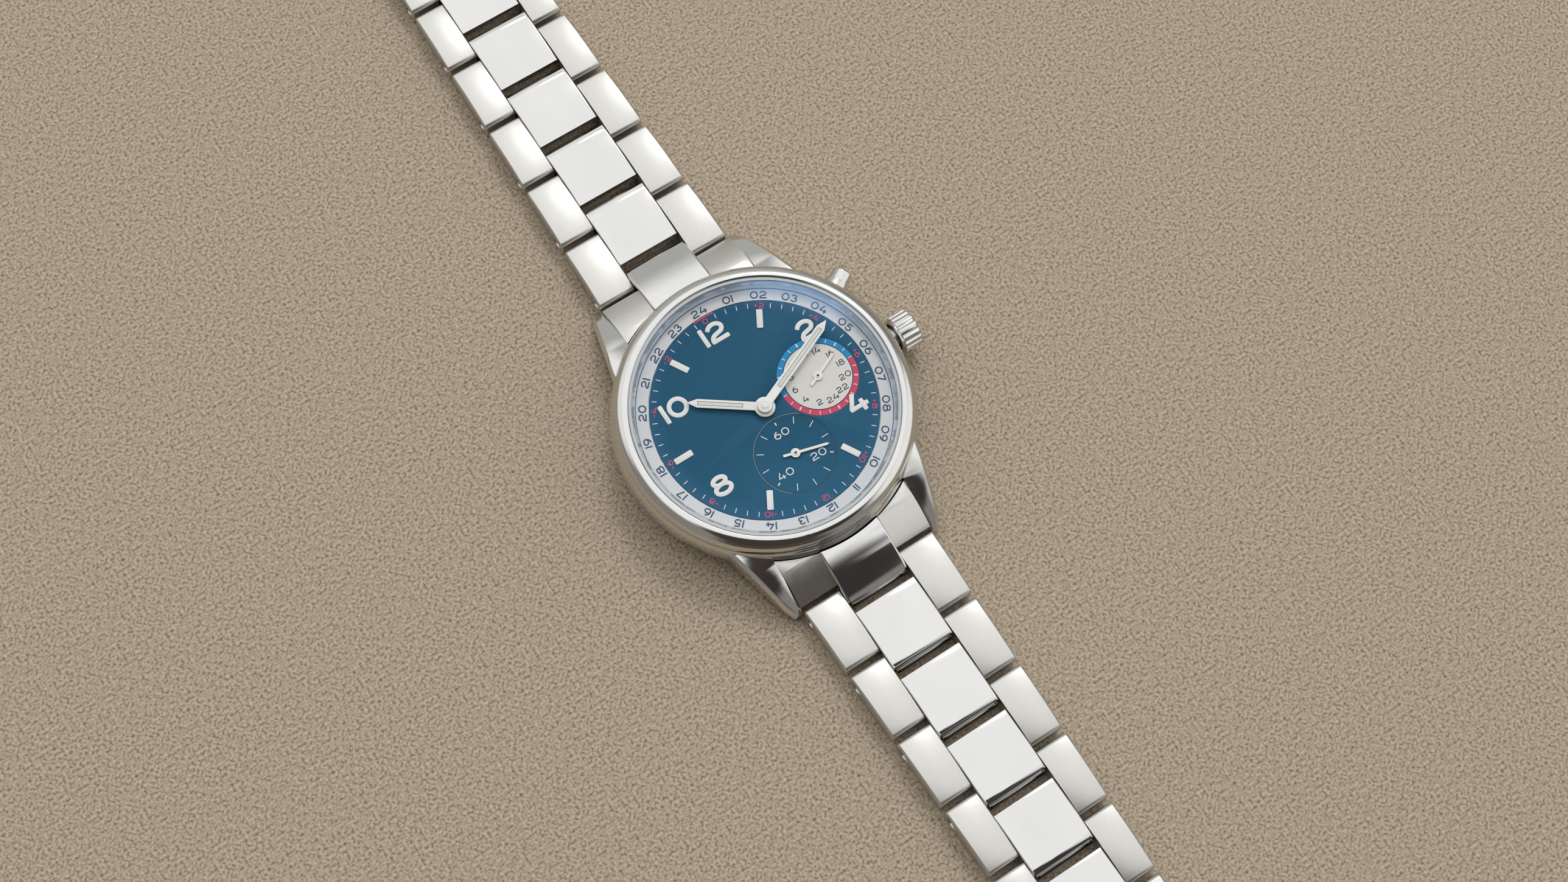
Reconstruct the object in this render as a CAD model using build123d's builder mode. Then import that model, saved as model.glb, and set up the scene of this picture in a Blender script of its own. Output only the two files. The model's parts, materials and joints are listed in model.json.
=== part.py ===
from build123d import *
import os
from math import cos, pi, radians, sin, sqrt

os.makedirs("parts", exist_ok=True)

# World time wristwatch on a steel bracelet, lying on its back with the bracelet laid out flat.
# Millimetres. The origin is the centre of the case back where it rests, +X points to 3 o'clock,
# +Y to 12 o'clock and +Z up through the crystal.

# Driving dimensions: the case as a turned stack
case_radius = 20.0
case_foot_step = 1.4
case_bulge = 0.5
case_wall = 3.05
waist_drop = 2.3
back_flange_height = 1.1
case_band_height = 5.5
bezel_height = 2.0
neck_height = 0.85
neck_step = 0.3
neck_wall = 1.05
flange_shoulder_depth = 0.1
push_fit = 0.02
running_fit = 0.05
seat_gap = 0.05
cut_over = 1.0

case_foot_radius = case_radius - case_foot_step
bezel_radius = case_radius - case_bulge
case_bore_radius = case_radius - case_wall
neck_bore_radius = case_bore_radius + neck_step
neck_radius = neck_bore_radius + neck_wall
case_top = back_flange_height + case_band_height
waist_height = case_top - waist_drop
bezel_top = case_top + bezel_height
neck_top = case_top + neck_height
shoulder_height = case_top + flange_shoulder_depth

# Driving dimensions: the bracelet
first_pin_reach = 1.5
link_pitch = 10.2
link_thickness = 3.1
link_12_count = 6
link_6_count = 6
row_width_at_lugs = 19.7
row_width_at_clasp = 17.0
centre_width = 9.05
barrel_width = 8.3
barrel_radius = 1.42
row_gap = 0.08
link_gap = 0.65
hinge_pin_radius = 0.6
hinge_head_radius = 0.95
hinge_head_length = 0.9
link_pin_radius = 0.5
plate_lip = 0.75
plate_gap = 1.5
plate_lip_thickness = 0.3
plate_roll_length = 1.2
plate_roll_drop = 0.16
plate_camber = 0.12
link_bevel = 0.2
centre_round = 0.22
side_round = 0.65
side_camber = 0.35
side_chamfer = 0.3
side_bevel = 0.2
link_pin_places = (4.6, 7.4)
link_pin_inset = 0.8
hinge_inset = 0.15
hinge_blind = 0.6
hinge_slot_width = 0.25
hinge_slot_depth = 0.2

pin_height = link_thickness / 2

# Driving dimensions: lugs, end links and spring bars
lug_inner_x = 10.0
lug_root_width = 4.4
lug_root_sink = 0.19
lug_shoulder_width = 1.9
lug_shoulder_length = 1.5
lug_tip_width = 1.1
lug_reach = 4.4
lug_root_overlap = 1.6
lug_root_height = 6.2
lug_crest_back = 4.6
lug_crest_height = 4.8
lug_tip_height = 1.9
lug_tip_bottom = 0.3
lug_bevel = 0.45
lug_gap = 0.05
lug_steep_share = 0.9
spring_bar_back = 2.1
spring_bar_height = 1.6
spring_bar_radius = 0.75
spring_bar_tip_radius = 0.45
spring_bar_tip_length = 1.0
end_link_root_depth = 5.0
end_link_bottom = 0.35
end_side_root_height = 5.1
end_side_crest_back = 3.6
end_side_crest_height = 4.55
end_side_end_height = 2.9
end_side_gap = 0.5
tab_root_height = 5.6
tab_crest_back = 2.4
tab_crest_height = 4.75
tab_round = 0.35

lug_root_x = lug_inner_x + lug_root_width
lug_root_y = sqrt((case_radius - lug_root_sink) ** 2 - lug_root_x ** 2)
lug_start_y = lug_root_y - lug_root_overlap
lug_tip_x = lug_inner_x + lug_tip_width
lug_tip_y = case_radius + lug_reach
lug_shoulder_x = lug_inner_x + lug_shoulder_width
lug_shoulder_y = lug_tip_y - lug_shoulder_length
lug_crest_y = lug_tip_y - lug_crest_back
spring_bar_y = lug_tip_y - spring_bar_back
end_link_root_y = case_radius - end_link_root_depth
end_side_crest_y = lug_tip_y - end_side_crest_back
tab_crest_y = lug_tip_y - tab_crest_back
first_pin_y = lug_tip_y + first_pin_reach
last_pin_12_y = first_pin_y + link_12_count * link_pitch

# Driving dimensions: crystal, gasket, flange ring, case back
crystal_edge_thickness = 0.9
crystal_stand = 0.1
crystal_bevel = 0.25
crystal_seat_width = 0.5
crystal_centre_thickness = 1.1
crystal_rise = 1.2
gasket_wall = 0.35
gasket_foot_width = 0.35
gasket_stand_back = 0.25
bezel_bore_step = 0.2
bezel_crown_width = 0.5
bezel_side_land = 0.25
bezel_inner_bevel = 0.2
flange_foot_width = 0.6
flange_mouth_width = 0.35
back_rim = 0.7
back_chamfer = 0.3
spigot_height = 0.85
spigot_gap = 0.1
window_rim = 2.8
window_rebate_width = 0.6
window_glass_thickness = 1.0
window_rebate_height = 0.35
back_notch_count = 6
back_notch_width = 2.2
back_notch_depth = 0.5

bezel_bore_radius = neck_bore_radius + bezel_bore_step
bezel_crown_radius = bezel_bore_radius + bezel_crown_width
crystal_radius = bezel_bore_radius - gasket_wall
gasket_foot_radius = crystal_radius - gasket_foot_width
flange_foot_radius = neck_bore_radius - flange_foot_width
flange_mouth_radius = neck_bore_radius - flange_mouth_width
back_radius = case_foot_radius - back_rim

# Driving dimensions: dial and the ring of twenty-four zones round it
dial_thickness = 0.4
dial_bore_radius = 1.3
seconds_edge = 2.4
seconds_dial_radius = 5.3
home_edge = 1.32
home_dial_radius = 5.38
sub_dial_depth = 0.08
small_arbor_hole_radius = 0.35
dial_foot_radius = 0.4
dial_foot_length = 0.5
dial_foot_inset = 1.5
dial_foot_angles = (40.0, 220.0)
city_ring_width = 1.8
city_ring_fit = 0.15
city_ring_gap = 0.1
city_ring_thickness = 0.34
city_ring_drop = 0.05
baton_length = 2.6
baton_width = 0.82
baton_height = 0.14
baton_corner = 0.12
baton_inset = 1.25
baton_turn_shares = (1 / 12, 5 / 12, 7 / 12, 9 / 12, 11 / 12)

dial_surface_height = case_top
city_ring_radius = case_bore_radius - city_ring_fit
dial_radius = city_ring_radius - city_ring_width - city_ring_gap
seconds_y = seconds_dial_radius + seconds_edge - dial_radius
home_x = dial_radius - home_dial_radius - home_edge
baton_place_radius = dial_radius - baton_inset - baton_length / 2

# Driving dimensions: hands
hour_hand_short = 4.85
minute_hand_short = 0.6
main_hand_width = 1.15
main_tip_length = 1.3
hand_slot_width = 0.55
hour_slot_start = 2.8
hour_slot_tip = 1.35
minute_slot_start = 3.2
minute_slot_tip = 1.4
hour_hub_radius = 1.35
minute_hub_radius = 0.95
main_hand_thickness = 0.16
hour_hand_lift = 0.5
minute_hand_lift = 0.85
hour_boss_radius = 1.15
hour_boss_height = 0.08
minute_boss_height = 0.16
hub_cap_radius = 0.4
hub_cap_height = 0.09
small_hand_width = 0.34
small_hand_thickness = 0.1
small_hub_radius = 0.62
small_arbor_radius = 0.15
small_hand_lift = 0.2
small_boss_height = 0.08
seconds_hand_short = 0.75
seconds_tail_length = 1.65
seconds_hand_reading = 17.6
home_hand_short = 1.58
home_tail_length = 1.6
home_hand_reading = 16.4
whole_hour_reading = 10
minute_reading = 11.15

hour_hand_length = dial_radius - hour_hand_short
minute_hand_length = dial_radius - minute_hand_short
hour_slot_end = hour_hand_length - hour_slot_tip
minute_slot_end = minute_hand_length - minute_slot_tip
seconds_hand_length = seconds_dial_radius - seconds_hand_short
home_hand_length = home_dial_radius - home_hand_short

# Driving dimensions: movement
movement_ring_wall = 1.4
movement_ring_fit = 0.05
bridge_thickness = 1.3
main_plate_thickness = 1.05
dial_rim_width = 2.0
dial_rim_height = 0.9
rotor_clear = 0.6
rotor_rim_width = 3.1
rotor_web_thickness = 0.35
rotor_rim_thickness = 0.75
rotor_drop = 0.95
rotor_hub_radius = 2.6
rotor_post_radius = 1.2
balance_inset = 2.0
balance_place_angle = 235.0
balance_radius = 4.1
balance_rim_width = 0.5
balance_thickness = 0.35
balance_lift = 0.65
balance_clear = 0.5
balance_staff_radius = 0.15
balance_spoke_width = 0.5
cock_thickness = 0.4
cock_width = 4.2
cock_foot_length = 1.6
gear_module = 0.14
gear_tooth_gap = 0.03
cannon_teeth = 10
minute_wheel_teeth = 30
minute_pinion_teeth = 8
hour_wheel_teeth = 32
minute_wheel_angle = 135.0
centre_post_radius = 0.22
cannon_radius = 0.5
hour_pipe_radius = 0.95
wheel_thickness = 0.2
cannon_gear_height = 0.35
train_floor_gap = 0.08

dial_seat_height = dial_surface_height - dial_thickness
plate_top = dial_seat_height - dial_rim_height
plate_bottom = plate_top - main_plate_thickness
bridge_bottom = plate_bottom - bridge_thickness
rotor_bottom = bridge_bottom - rotor_drop
movement_ring_radius = case_bore_radius - movement_ring_fit
movement_radius = movement_ring_radius - movement_ring_wall
spigot_inner_radius = movement_radius + spigot_gap
window_glass_radius = spigot_inner_radius - window_rim
window_radius = window_glass_radius - window_rebate_width
dial_foot_place_radius = movement_radius - dial_foot_inset
rotor_radius = movement_radius - rotor_clear
balance_place_radius = movement_radius - balance_radius - balance_inset

# Driving dimensions: crown, pusher, corrector
crown_drop = 3.0
crown_radius = 2.55
crown_stand = 0.5
crown_length = 3.0
crown_dome = 0.45
crown_chamfer = 0.35
crown_flute_count = 18
crown_flute_radius = 0.34
crown_flute_depth = 0.2
crown_bore_radius = 1.9
crown_bore_depth = 2.2
crown_tube_radius = 1.4
crown_tube_inset = 0.35
crown_tube_reach = 1.8
stem_radius = 0.45
stem_reach = 7.0
stem_grip = 0.8
seal_width = 0.4
seal_offset = 0.2
crown_travel = 1.2
pusher_travel = 0.8
corrector_travel = 0.6
stem_clear = 0.1
pusher_angle = 29.5
pusher_tube_radius = 1.65
pusher_tube_inset = 0.65
pusher_tube_stand = 1.1
pusher_bore_depth = 2.1
pusher_head_radius = 1.42
pusher_head_clear = 0.15
pusher_head_stand = 1.8
pusher_stem_radius = 0.55
pusher_head_round = 0.4
corrector_angle = 210.0
corrector_radius = 0.9
corrector_clear = 0.2
corrector_sink = 0.3
corrector_stem_radius = 0.4
corrector_dish_radius = 1.45
corrector_dish_depth = 0.35

crown_height = dial_surface_height - crown_drop
crown_start_x = case_radius + crown_stand
crown_tube_start_x = case_bore_radius + crown_tube_inset
crown_tube_end_x = crown_start_x + crown_tube_reach
stem_start_x = movement_radius - stem_reach
pusher_tube_start = case_bore_radius + pusher_tube_inset
pusher_tube_end = case_radius + pusher_tube_stand
pusher_head_start = pusher_tube_end - pusher_bore_depth + pusher_travel + pusher_head_clear
pusher_head_end = pusher_tube_end + pusher_head_stand
corrector_start = case_bore_radius + corrector_travel + corrector_clear
corrector_end = case_radius - corrector_sink

# Driving dimensions: folding clasp
clasp_length = 34.0
clasp_plate_thickness = 0.9
clasp_wall = 1.0
cover_round = 0.45
clasp_wall_bottom = 0.25
clasp_prong_length = 4.6
clasp_pin_radius = 0.45
clasp_eye_radius = 0.78
clasp_eye_fit = 0.04
clasp_side_gap = 0.12
blade_thickness = 0.75
blade_gap = 0.14
blade_eye_width = 2.6
long_hinge_inset = 1.6
short_hinge_inset = 10.0
short_blade_width = 7.4
short_blade_bottom = 0.3
fork_cheek_width = 1.7
fork_reach = 3.0
fork_stand_off = 1.1
cover_slot_gap = 0.25
fork_pin_radius = 0.6
fork_cheek_radius = 1.25

clasp_start_y = last_pin_12_y - pin_height
clasp_end_y = clasp_start_y + clasp_length


def row_half_width(y):
    """Half the bracelet's width at a distance y from the middle of the case."""
    share = (y - first_pin_y) / (last_pin_12_y - first_pin_y)
    return (row_width_at_lugs + share * (row_width_at_clasp - row_width_at_lugs)) / 2


def polar(radius, angle):
    """A point in the XY plane at this radius and angle in degrees."""
    return (radius * cos(radians(angle)), radius * sin(radians(angle)))


def clock_angle(share_of_turn):
    """Angle in degrees from +X of a clock hand that has gone this share of a turn."""
    return 90 - 360 * share_of_turn


def radial_plane(angle, radius, height):
    """A plane whose normal points outwards from the case axis at this angle."""
    x, y = polar(radius, angle)
    return Plane(origin=(x, y, height), x_dir=(-sin(radians(angle)), cos(radians(angle)), 0),
                 z_dir=(cos(radians(angle)), sin(radians(angle)), 0))


def finish(builder, label):
    """Name a finished piece and write it to its own file."""
    builder.part.label = label
    export_step(builder.part, f"parts/{label}.step")


# Lugs: their outline from above, cut to their outline from the side, with a polished outer bevel
with BuildPart() as lugs:
    with BuildSketch(Plane.XY.offset(lug_tip_bottom)):
        with BuildLine():
            Polyline(
                (lug_root_x, lug_root_y), (lug_root_x, lug_start_y), (lug_inner_x, lug_start_y),
                (lug_inner_x, lug_tip_y), (lug_tip_x, lug_tip_y), (lug_shoulder_x, lug_shoulder_y))
            Line((lug_shoulder_x, lug_shoulder_y), (lug_root_x, lug_root_y))
        make_face()
        mirror(about=Plane.YZ)
        mirror(about=Plane.XZ)
    extrude(amount=lug_root_height - lug_tip_bottom)
    with BuildSketch(Plane.YZ):
        with BuildLine():
            ThreePointArc((lug_start_y, lug_root_height), (lug_crest_y, lug_crest_height),
                          (lug_tip_y, lug_tip_height))
            Polyline((lug_tip_y, lug_tip_height), (lug_tip_y, lug_tip_bottom),
                     (lug_crest_y, lug_tip_bottom), (lug_root_y, back_flange_height),
                     (lug_start_y, back_flange_height), (lug_start_y, lug_root_height))
        make_face()
        mirror(about=Plane.YZ)
    extrude(amount=lug_root_x + cut_over, both=True, mode=Mode.INTERSECT)
    lug_rims = lugs.edges().filter_by(
        lambda e: abs(e.center().X) > lug_tip_x and abs(e.center().Y) > lug_root_y
        and e.center().Z > lug_tip_height - lug_bevel and abs(e.tangent_at(1 / 2).Z) < lug_steep_share)
    chamfer(lug_rims, length=lug_bevel)

# Case middle: a turned band with the lugs, bored for the movement, the tubes and the spring bars
with BuildPart() as case_middle:
    with BuildSketch(Plane.XZ):
        with BuildLine():
            waist = (case_radius, waist_height)
            TangentArc(waist, (bezel_radius, case_top), tangent=(0, 1))
            TangentArc(waist, (case_foot_radius, back_flange_height), tangent=(0, -1))
            Polyline(
                (case_foot_radius, back_flange_height), (case_bore_radius, back_flange_height),
                (case_bore_radius, shoulder_height), (neck_bore_radius, shoulder_height),
                (neck_bore_radius, neck_top), (neck_radius, neck_top), (neck_radius, case_top),
                (bezel_radius, case_top))
        make_face()
    revolve(axis=Axis.Z)
    add(lugs.part)
    with BuildSketch():
        Circle(back_radius + seat_gap)
    extrude(amount=back_flange_height, mode=Mode.SUBTRACT)
    with BuildSketch(Plane.XY.offset(back_flange_height)):
        Circle(case_bore_radius)
    extrude(amount=case_band_height + flange_shoulder_depth, mode=Mode.SUBTRACT)
    with BuildSketch(Plane.XY.offset(shoulder_height)):
        Circle(neck_bore_radius)
    extrude(amount=neck_height, mode=Mode.SUBTRACT)
    with BuildSketch(Plane.YZ.offset(case_bore_radius - cut_over)):
        with Locations((0, crown_height)):
            Circle(crown_tube_radius)
    extrude(amount=case_radius - case_bore_radius + 2 * cut_over, mode=Mode.SUBTRACT)
    with BuildSketch(radial_plane(pusher_angle, case_bore_radius - cut_over, crown_height)):
        Circle(pusher_tube_radius)
    extrude(amount=case_radius - case_bore_radius + 2 * cut_over, mode=Mode.SUBTRACT)
    with BuildSketch(radial_plane(corrector_angle, case_bore_radius - cut_over, crown_height)):
        Circle(corrector_radius + running_fit)
    extrude(amount=case_radius - case_bore_radius + 2 * cut_over, mode=Mode.SUBTRACT)
    with BuildSketch(radial_plane(corrector_angle, case_radius - corrector_dish_depth, crown_height)):
        Circle(corrector_dish_radius)
    extrude(amount=corrector_dish_depth + cut_over, mode=Mode.SUBTRACT)
    with BuildSketch(Plane.YZ):
        with Locations((spring_bar_y, spring_bar_height), (-spring_bar_y, spring_bar_height)):
            Circle(spring_bar_tip_radius + push_fit)
    extrude(amount=lug_inner_x + spring_bar_tip_length, both=True, mode=Mode.SUBTRACT)
finish(case_middle, "case_middle")

# Bezel: a rolled ring seated on the case neck
with BuildPart() as bezel:
    with BuildSketch(Plane.XZ):
        with BuildLine():
            side_top = (bezel_radius, case_top + bezel_side_land)
            crown_edge = (bezel_crown_radius, bezel_top)
            Line((bezel_radius, case_top), side_top)
            TangentArc(side_top, crown_edge, tangent=(0, 1))
            Polyline(
                crown_edge, (bezel_bore_radius + bezel_inner_bevel, bezel_top),
                (bezel_bore_radius, bezel_top - bezel_inner_bevel), (bezel_bore_radius, neck_top),
                (neck_radius, neck_top), (neck_radius, case_top), (bezel_radius, case_top))
        make_face()
    revolve(axis=Axis.Z)
finish(bezel, "bezel")

# Crystal: a domed disc whose edge stands just above the bezel
crystal_edge_top = bezel_top + crystal_stand
crystal_underside = crystal_edge_top - crystal_edge_thickness
overall_height = crystal_edge_top + crystal_rise
crystal_inner_top = overall_height - crystal_centre_thickness
with BuildPart() as crystal:
    with BuildSketch(Plane.XZ):
        with BuildLine():
            TangentArc((0, overall_height), (crystal_radius - crystal_bevel, crystal_edge_top),
                       tangent=(1, 0))
            Polyline(
                (crystal_radius - crystal_bevel, crystal_edge_top),
                (crystal_radius, crystal_edge_top - crystal_bevel),
                (crystal_radius, crystal_underside),
                (crystal_radius - crystal_seat_width, crystal_underside))
            TangentArc((0, crystal_inner_top),
                       (crystal_radius - crystal_seat_width, crystal_underside), tangent=(1, 0))
            Line((0, crystal_inner_top), (0, overall_height))
        make_face()
    revolve(axis=Axis.Z)
finish(crystal, "crystal")

# Crystal gasket: an L-shaped ring that the crystal is pressed into
with BuildPart() as crystal_gasket:
    with BuildSketch(Plane.XZ):
        with BuildLine():
            Polyline(
                (gasket_foot_radius, neck_top), (bezel_bore_radius, neck_top),
                (bezel_bore_radius, bezel_top - gasket_stand_back),
                (crystal_radius, bezel_top - gasket_stand_back), (crystal_radius, crystal_underside),
                (gasket_foot_radius, crystal_underside), close=True)
        make_face()
    revolve(axis=Axis.Z)
finish(crystal_gasket, "crystal_gasket")

# Flange ring: the polished sloping ring between the crystal and the zone ring
with BuildPart() as flange_ring:
    with BuildSketch(Plane.XZ):
        with BuildLine():
            Polyline(
                (flange_foot_radius, shoulder_height), (neck_bore_radius, shoulder_height),
                (neck_bore_radius, neck_top), (flange_mouth_radius, neck_top), close=True)
        make_face()
    revolve(axis=Axis.Z)
finish(flange_ring, "flange_ring")

# Case back: a ring with a spigot into the case, a window and six wrench notches
spigot_top = back_flange_height + spigot_height
window_glass_top = window_rebate_height + window_glass_thickness
with BuildPart() as case_back:
    with BuildSketch(Plane.XZ):
        with BuildLine():
            Polyline(
                (window_radius, 0), (back_radius - back_chamfer, 0), (back_radius, back_chamfer),
                (back_radius, back_flange_height),
                (case_bore_radius - movement_ring_fit, back_flange_height),
                (case_bore_radius - movement_ring_fit, spigot_top), (spigot_inner_radius, spigot_top),
                (spigot_inner_radius, window_glass_top), (window_glass_radius, window_glass_top),
                (window_glass_radius, window_rebate_height), (window_radius, window_rebate_height),
                close=True)
        make_face()
    revolve(axis=Axis.Z)
    with BuildSketch():
        with PolarLocations(back_radius, back_notch_count):
            Rectangle(back_notch_depth * 2, back_notch_width)
    extrude(amount=back_flange_height - back_chamfer, mode=Mode.SUBTRACT)
finish(case_back, "case_back")

with BuildPart() as case_back_glass:
    with BuildSketch(Plane.XY.offset(window_rebate_height)):
        Circle(window_glass_radius)
    extrude(amount=window_glass_thickness)
finish(case_back_glass, "case_back_glass")

# Crown tube, seal, crown and winding stem, all on one axis out to 3 o'clock
crown_axis = Plane(origin=(0, 0, crown_height), x_dir=(0, 1, 0), z_dir=(1, 0, 0))
crown_end_x = crown_start_x + crown_length
with BuildPart() as crown_tube:
    with BuildSketch(crown_axis.offset(crown_tube_start_x)):
        Circle(crown_tube_radius)
        Circle(stem_radius + running_fit, mode=Mode.SUBTRACT)
    extrude(amount=crown_tube_end_x - crown_tube_start_x)
finish(crown_tube, "crown_tube")

with BuildPart() as crown_seal:
    with BuildSketch(crown_axis.offset(crown_start_x + seal_offset)):
        Circle(crown_bore_radius - running_fit)
        Circle(crown_tube_radius + running_fit, mode=Mode.SUBTRACT)
    extrude(amount=seal_width)
finish(crown_seal, "crown_seal")

with BuildPart() as crown:
    with BuildSketch(Plane.XZ):
        with BuildLine():
            rim_top = crown_height + crown_radius
            Polyline(
                (crown_end_x + crown_dome, crown_height), (crown_start_x, crown_height),
                (crown_start_x, rim_top - crown_chamfer), (crown_start_x + crown_chamfer, rim_top),
                (crown_end_x - crown_chamfer, rim_top), (crown_end_x, rim_top - crown_chamfer))
            TangentArc((crown_end_x + crown_dome, crown_height), (crown_end_x, rim_top - crown_chamfer),
                       tangent=(0, 1))
        make_face()
    revolve(axis=Axis((0, 0, crown_height), (1, 0, 0)))
    with BuildSketch(crown_axis.offset(crown_start_x + crown_chamfer)):
        with PolarLocations(crown_radius + crown_flute_radius - crown_flute_depth, crown_flute_count):
            Circle(crown_flute_radius)
    extrude(amount=crown_length + crown_dome, mode=Mode.SUBTRACT)
    with BuildSketch(crown_axis.offset(crown_start_x)):
        Circle(crown_bore_radius)
    extrude(amount=crown_bore_depth, mode=Mode.SUBTRACT)
    with BuildSketch(crown_axis.offset(crown_start_x)):
        Circle(stem_radius)
    extrude(amount=crown_bore_depth + stem_grip, mode=Mode.SUBTRACT)
finish(crown, "crown")

with BuildPart() as winding_stem:
    with BuildSketch(crown_axis.offset(stem_start_x)):
        Circle(stem_radius)
    extrude(amount=crown_start_x + crown_bore_depth + stem_grip - stem_start_x)
finish(winding_stem, "winding_stem")

# Pusher at 2 o'clock: a fixed collar and a sprung button that slides in it
pusher_stem_start = movement_radius + pusher_travel + stem_clear
with BuildPart() as pusher_tube:
    with BuildSketch(radial_plane(pusher_angle, pusher_tube_start, crown_height)):
        Circle(pusher_tube_radius)
        Circle(pusher_stem_radius + running_fit, mode=Mode.SUBTRACT)
    extrude(amount=pusher_tube_end - pusher_tube_start)
    with BuildSketch(radial_plane(pusher_angle, pusher_tube_end - pusher_bore_depth, crown_height)):
        Circle(pusher_head_radius + running_fit)
    extrude(amount=pusher_bore_depth, mode=Mode.SUBTRACT)
finish(pusher_tube, "pusher_tube")

with BuildPart() as pusher_button:
    with BuildSketch(radial_plane(pusher_angle, pusher_head_start, crown_height)):
        Circle(pusher_head_radius)
    extrude(amount=pusher_head_end - pusher_head_start)
    fillet(pusher_button.edges().sort_by(Axis((0, 0, 0), (*polar(1, pusher_angle), 0)))[-1],
           radius=pusher_head_round)
    with BuildSketch(radial_plane(pusher_angle, pusher_stem_start, crown_height)):
        Circle(pusher_stem_radius)
    extrude(amount=pusher_head_start - pusher_stem_start)
finish(pusher_button, "pusher_button")

# Corrector: a small sunk button in the flank near 8 o'clock
corrector_stem_start = movement_radius + corrector_travel + stem_clear
with BuildPart() as corrector_button:
    with BuildSketch(radial_plane(corrector_angle, corrector_start, crown_height)):
        Circle(corrector_radius)
    extrude(amount=corrector_end - corrector_start)
    with BuildSketch(radial_plane(corrector_angle, corrector_stem_start, crown_height)):
        Circle(corrector_stem_radius)
    extrude(amount=corrector_start - corrector_stem_start)
finish(corrector_button, "corrector_button")

# Movement ring: holds the movement in the case and carries the zone ring on its top
with BuildPart() as movement_ring:
    with BuildSketch(Plane.XY.offset(spigot_top)):
        Circle(movement_ring_radius)
        Circle(movement_radius + movement_ring_fit, mode=Mode.SUBTRACT)
    extrude(amount=dial_seat_height - spigot_top)
    with BuildSketch(crown_axis.offset(movement_radius - cut_over)):
        Circle(stem_radius + running_fit)
    extrude(amount=movement_ring_radius - movement_radius + 2 * cut_over, mode=Mode.SUBTRACT)
    with BuildSketch(radial_plane(pusher_angle, movement_radius - cut_over, crown_height)):
        Circle(pusher_stem_radius + running_fit)
    extrude(amount=movement_ring_radius - movement_radius + 2 * cut_over, mode=Mode.SUBTRACT)
    with BuildSketch(radial_plane(corrector_angle, movement_radius - cut_over, crown_height)):
        Circle(corrector_stem_radius + running_fit)
    extrude(amount=movement_ring_radius - movement_radius + 2 * cut_over, mode=Mode.SUBTRACT)
finish(movement_ring, "movement_ring")

# Main plate: a disc with a raised rim for the dial, the posts of the motion work and the pivot holes
gear_distance = (cannon_teeth + minute_wheel_teeth) / 2 * gear_module
train_floor = plate_top + train_floor_gap
minute_wheel_centre = polar(gear_distance, minute_wheel_angle)
balance_centre = polar(balance_place_radius, balance_place_angle)
dial_feet = [polar(dial_foot_place_radius, angle) for angle in dial_foot_angles]
with BuildPart() as main_plate:
    with BuildSketch(Plane.XY.offset(plate_bottom)):
        Circle(movement_radius)
    extrude(amount=main_plate_thickness)
    with BuildSketch(Plane.XY.offset(plate_top)):
        Circle(movement_radius)
        Circle(movement_radius - dial_rim_width, mode=Mode.SUBTRACT)
        with Locations(minute_wheel_centre):
            Circle(centre_post_radius)
    extrude(amount=dial_seat_height - plate_top)
    with BuildSketch(Plane.XY.offset(plate_top)):
        Circle(centre_post_radius)
    extrude(amount=dial_seat_height + hour_hand_lift - plate_top)
    with BuildSketch(Plane.XY.offset(plate_bottom)):
        with Locations((0, seconds_y), (home_x, 0)):
            Circle(small_arbor_radius + running_fit)
        with Locations(balance_centre):
            Circle(balance_staff_radius + running_fit)
    extrude(amount=main_plate_thickness, mode=Mode.SUBTRACT)
    with BuildSketch(Plane.XY.offset(dial_seat_height - dial_foot_length)):
        with Locations(*dial_feet):
            Circle(dial_foot_radius + push_fit)
    extrude(amount=dial_foot_length, mode=Mode.SUBTRACT)
finish(main_plate, "main_plate")

# Three-quarter plate: the large bridge, open round the balance, with the rotor's post
with BuildPart() as three_quarter_plate:
    with BuildSketch(Plane.XY.offset(bridge_bottom)):
        Circle(movement_radius)
        with Locations(balance_centre):
            Circle(balance_radius + balance_clear, mode=Mode.SUBTRACT)
        with Locations(Location((0, 0, 0), (0, 0, balance_place_angle))):
            Rectangle(movement_radius + cut_over, cock_width + 2 * balance_clear,
                      align=(Align.MIN, Align.CENTER), mode=Mode.SUBTRACT)
        Circle(balance_place_radius - balance_radius - balance_clear)
    extrude(amount=bridge_thickness)
    with BuildSketch(Plane.XY.offset(rotor_bottom)):
        Circle(rotor_post_radius)
    extrude(amount=bridge_bottom - rotor_bottom)
    with BuildSketch(crown_axis.offset(stem_start_x - crown_travel)):
        Circle(stem_radius + running_fit)
    extrude(amount=movement_radius, mode=Mode.SUBTRACT)
finish(three_quarter_plate, "three_quarter_plate")

# Balance cock: a foot on the main plate and an arm over the balance
cock_plane = Plane(origin=(0, 0, bridge_bottom), x_dir=(*polar(1, balance_place_angle), 0),
                   z_dir=(0, 0, 1))
with BuildPart() as balance_cock:
    with BuildSketch(cock_plane):
        with Locations((balance_place_radius, 0)):
            Circle(cock_width / 3)
            Rectangle(movement_radius - balance_place_radius - balance_clear, cock_width * 2 / 3,
                      align=(Align.MIN, Align.CENTER))
            Circle(balance_staff_radius + running_fit, mode=Mode.SUBTRACT)
    extrude(amount=cock_thickness)
    with BuildSketch(cock_plane):
        with Locations((movement_radius - balance_clear, 0)):
            Rectangle(cock_foot_length - balance_clear, cock_width, align=(Align.MAX, Align.CENTER))
    extrude(amount=bridge_thickness)
finish(balance_cock, "balance_cock")

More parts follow.
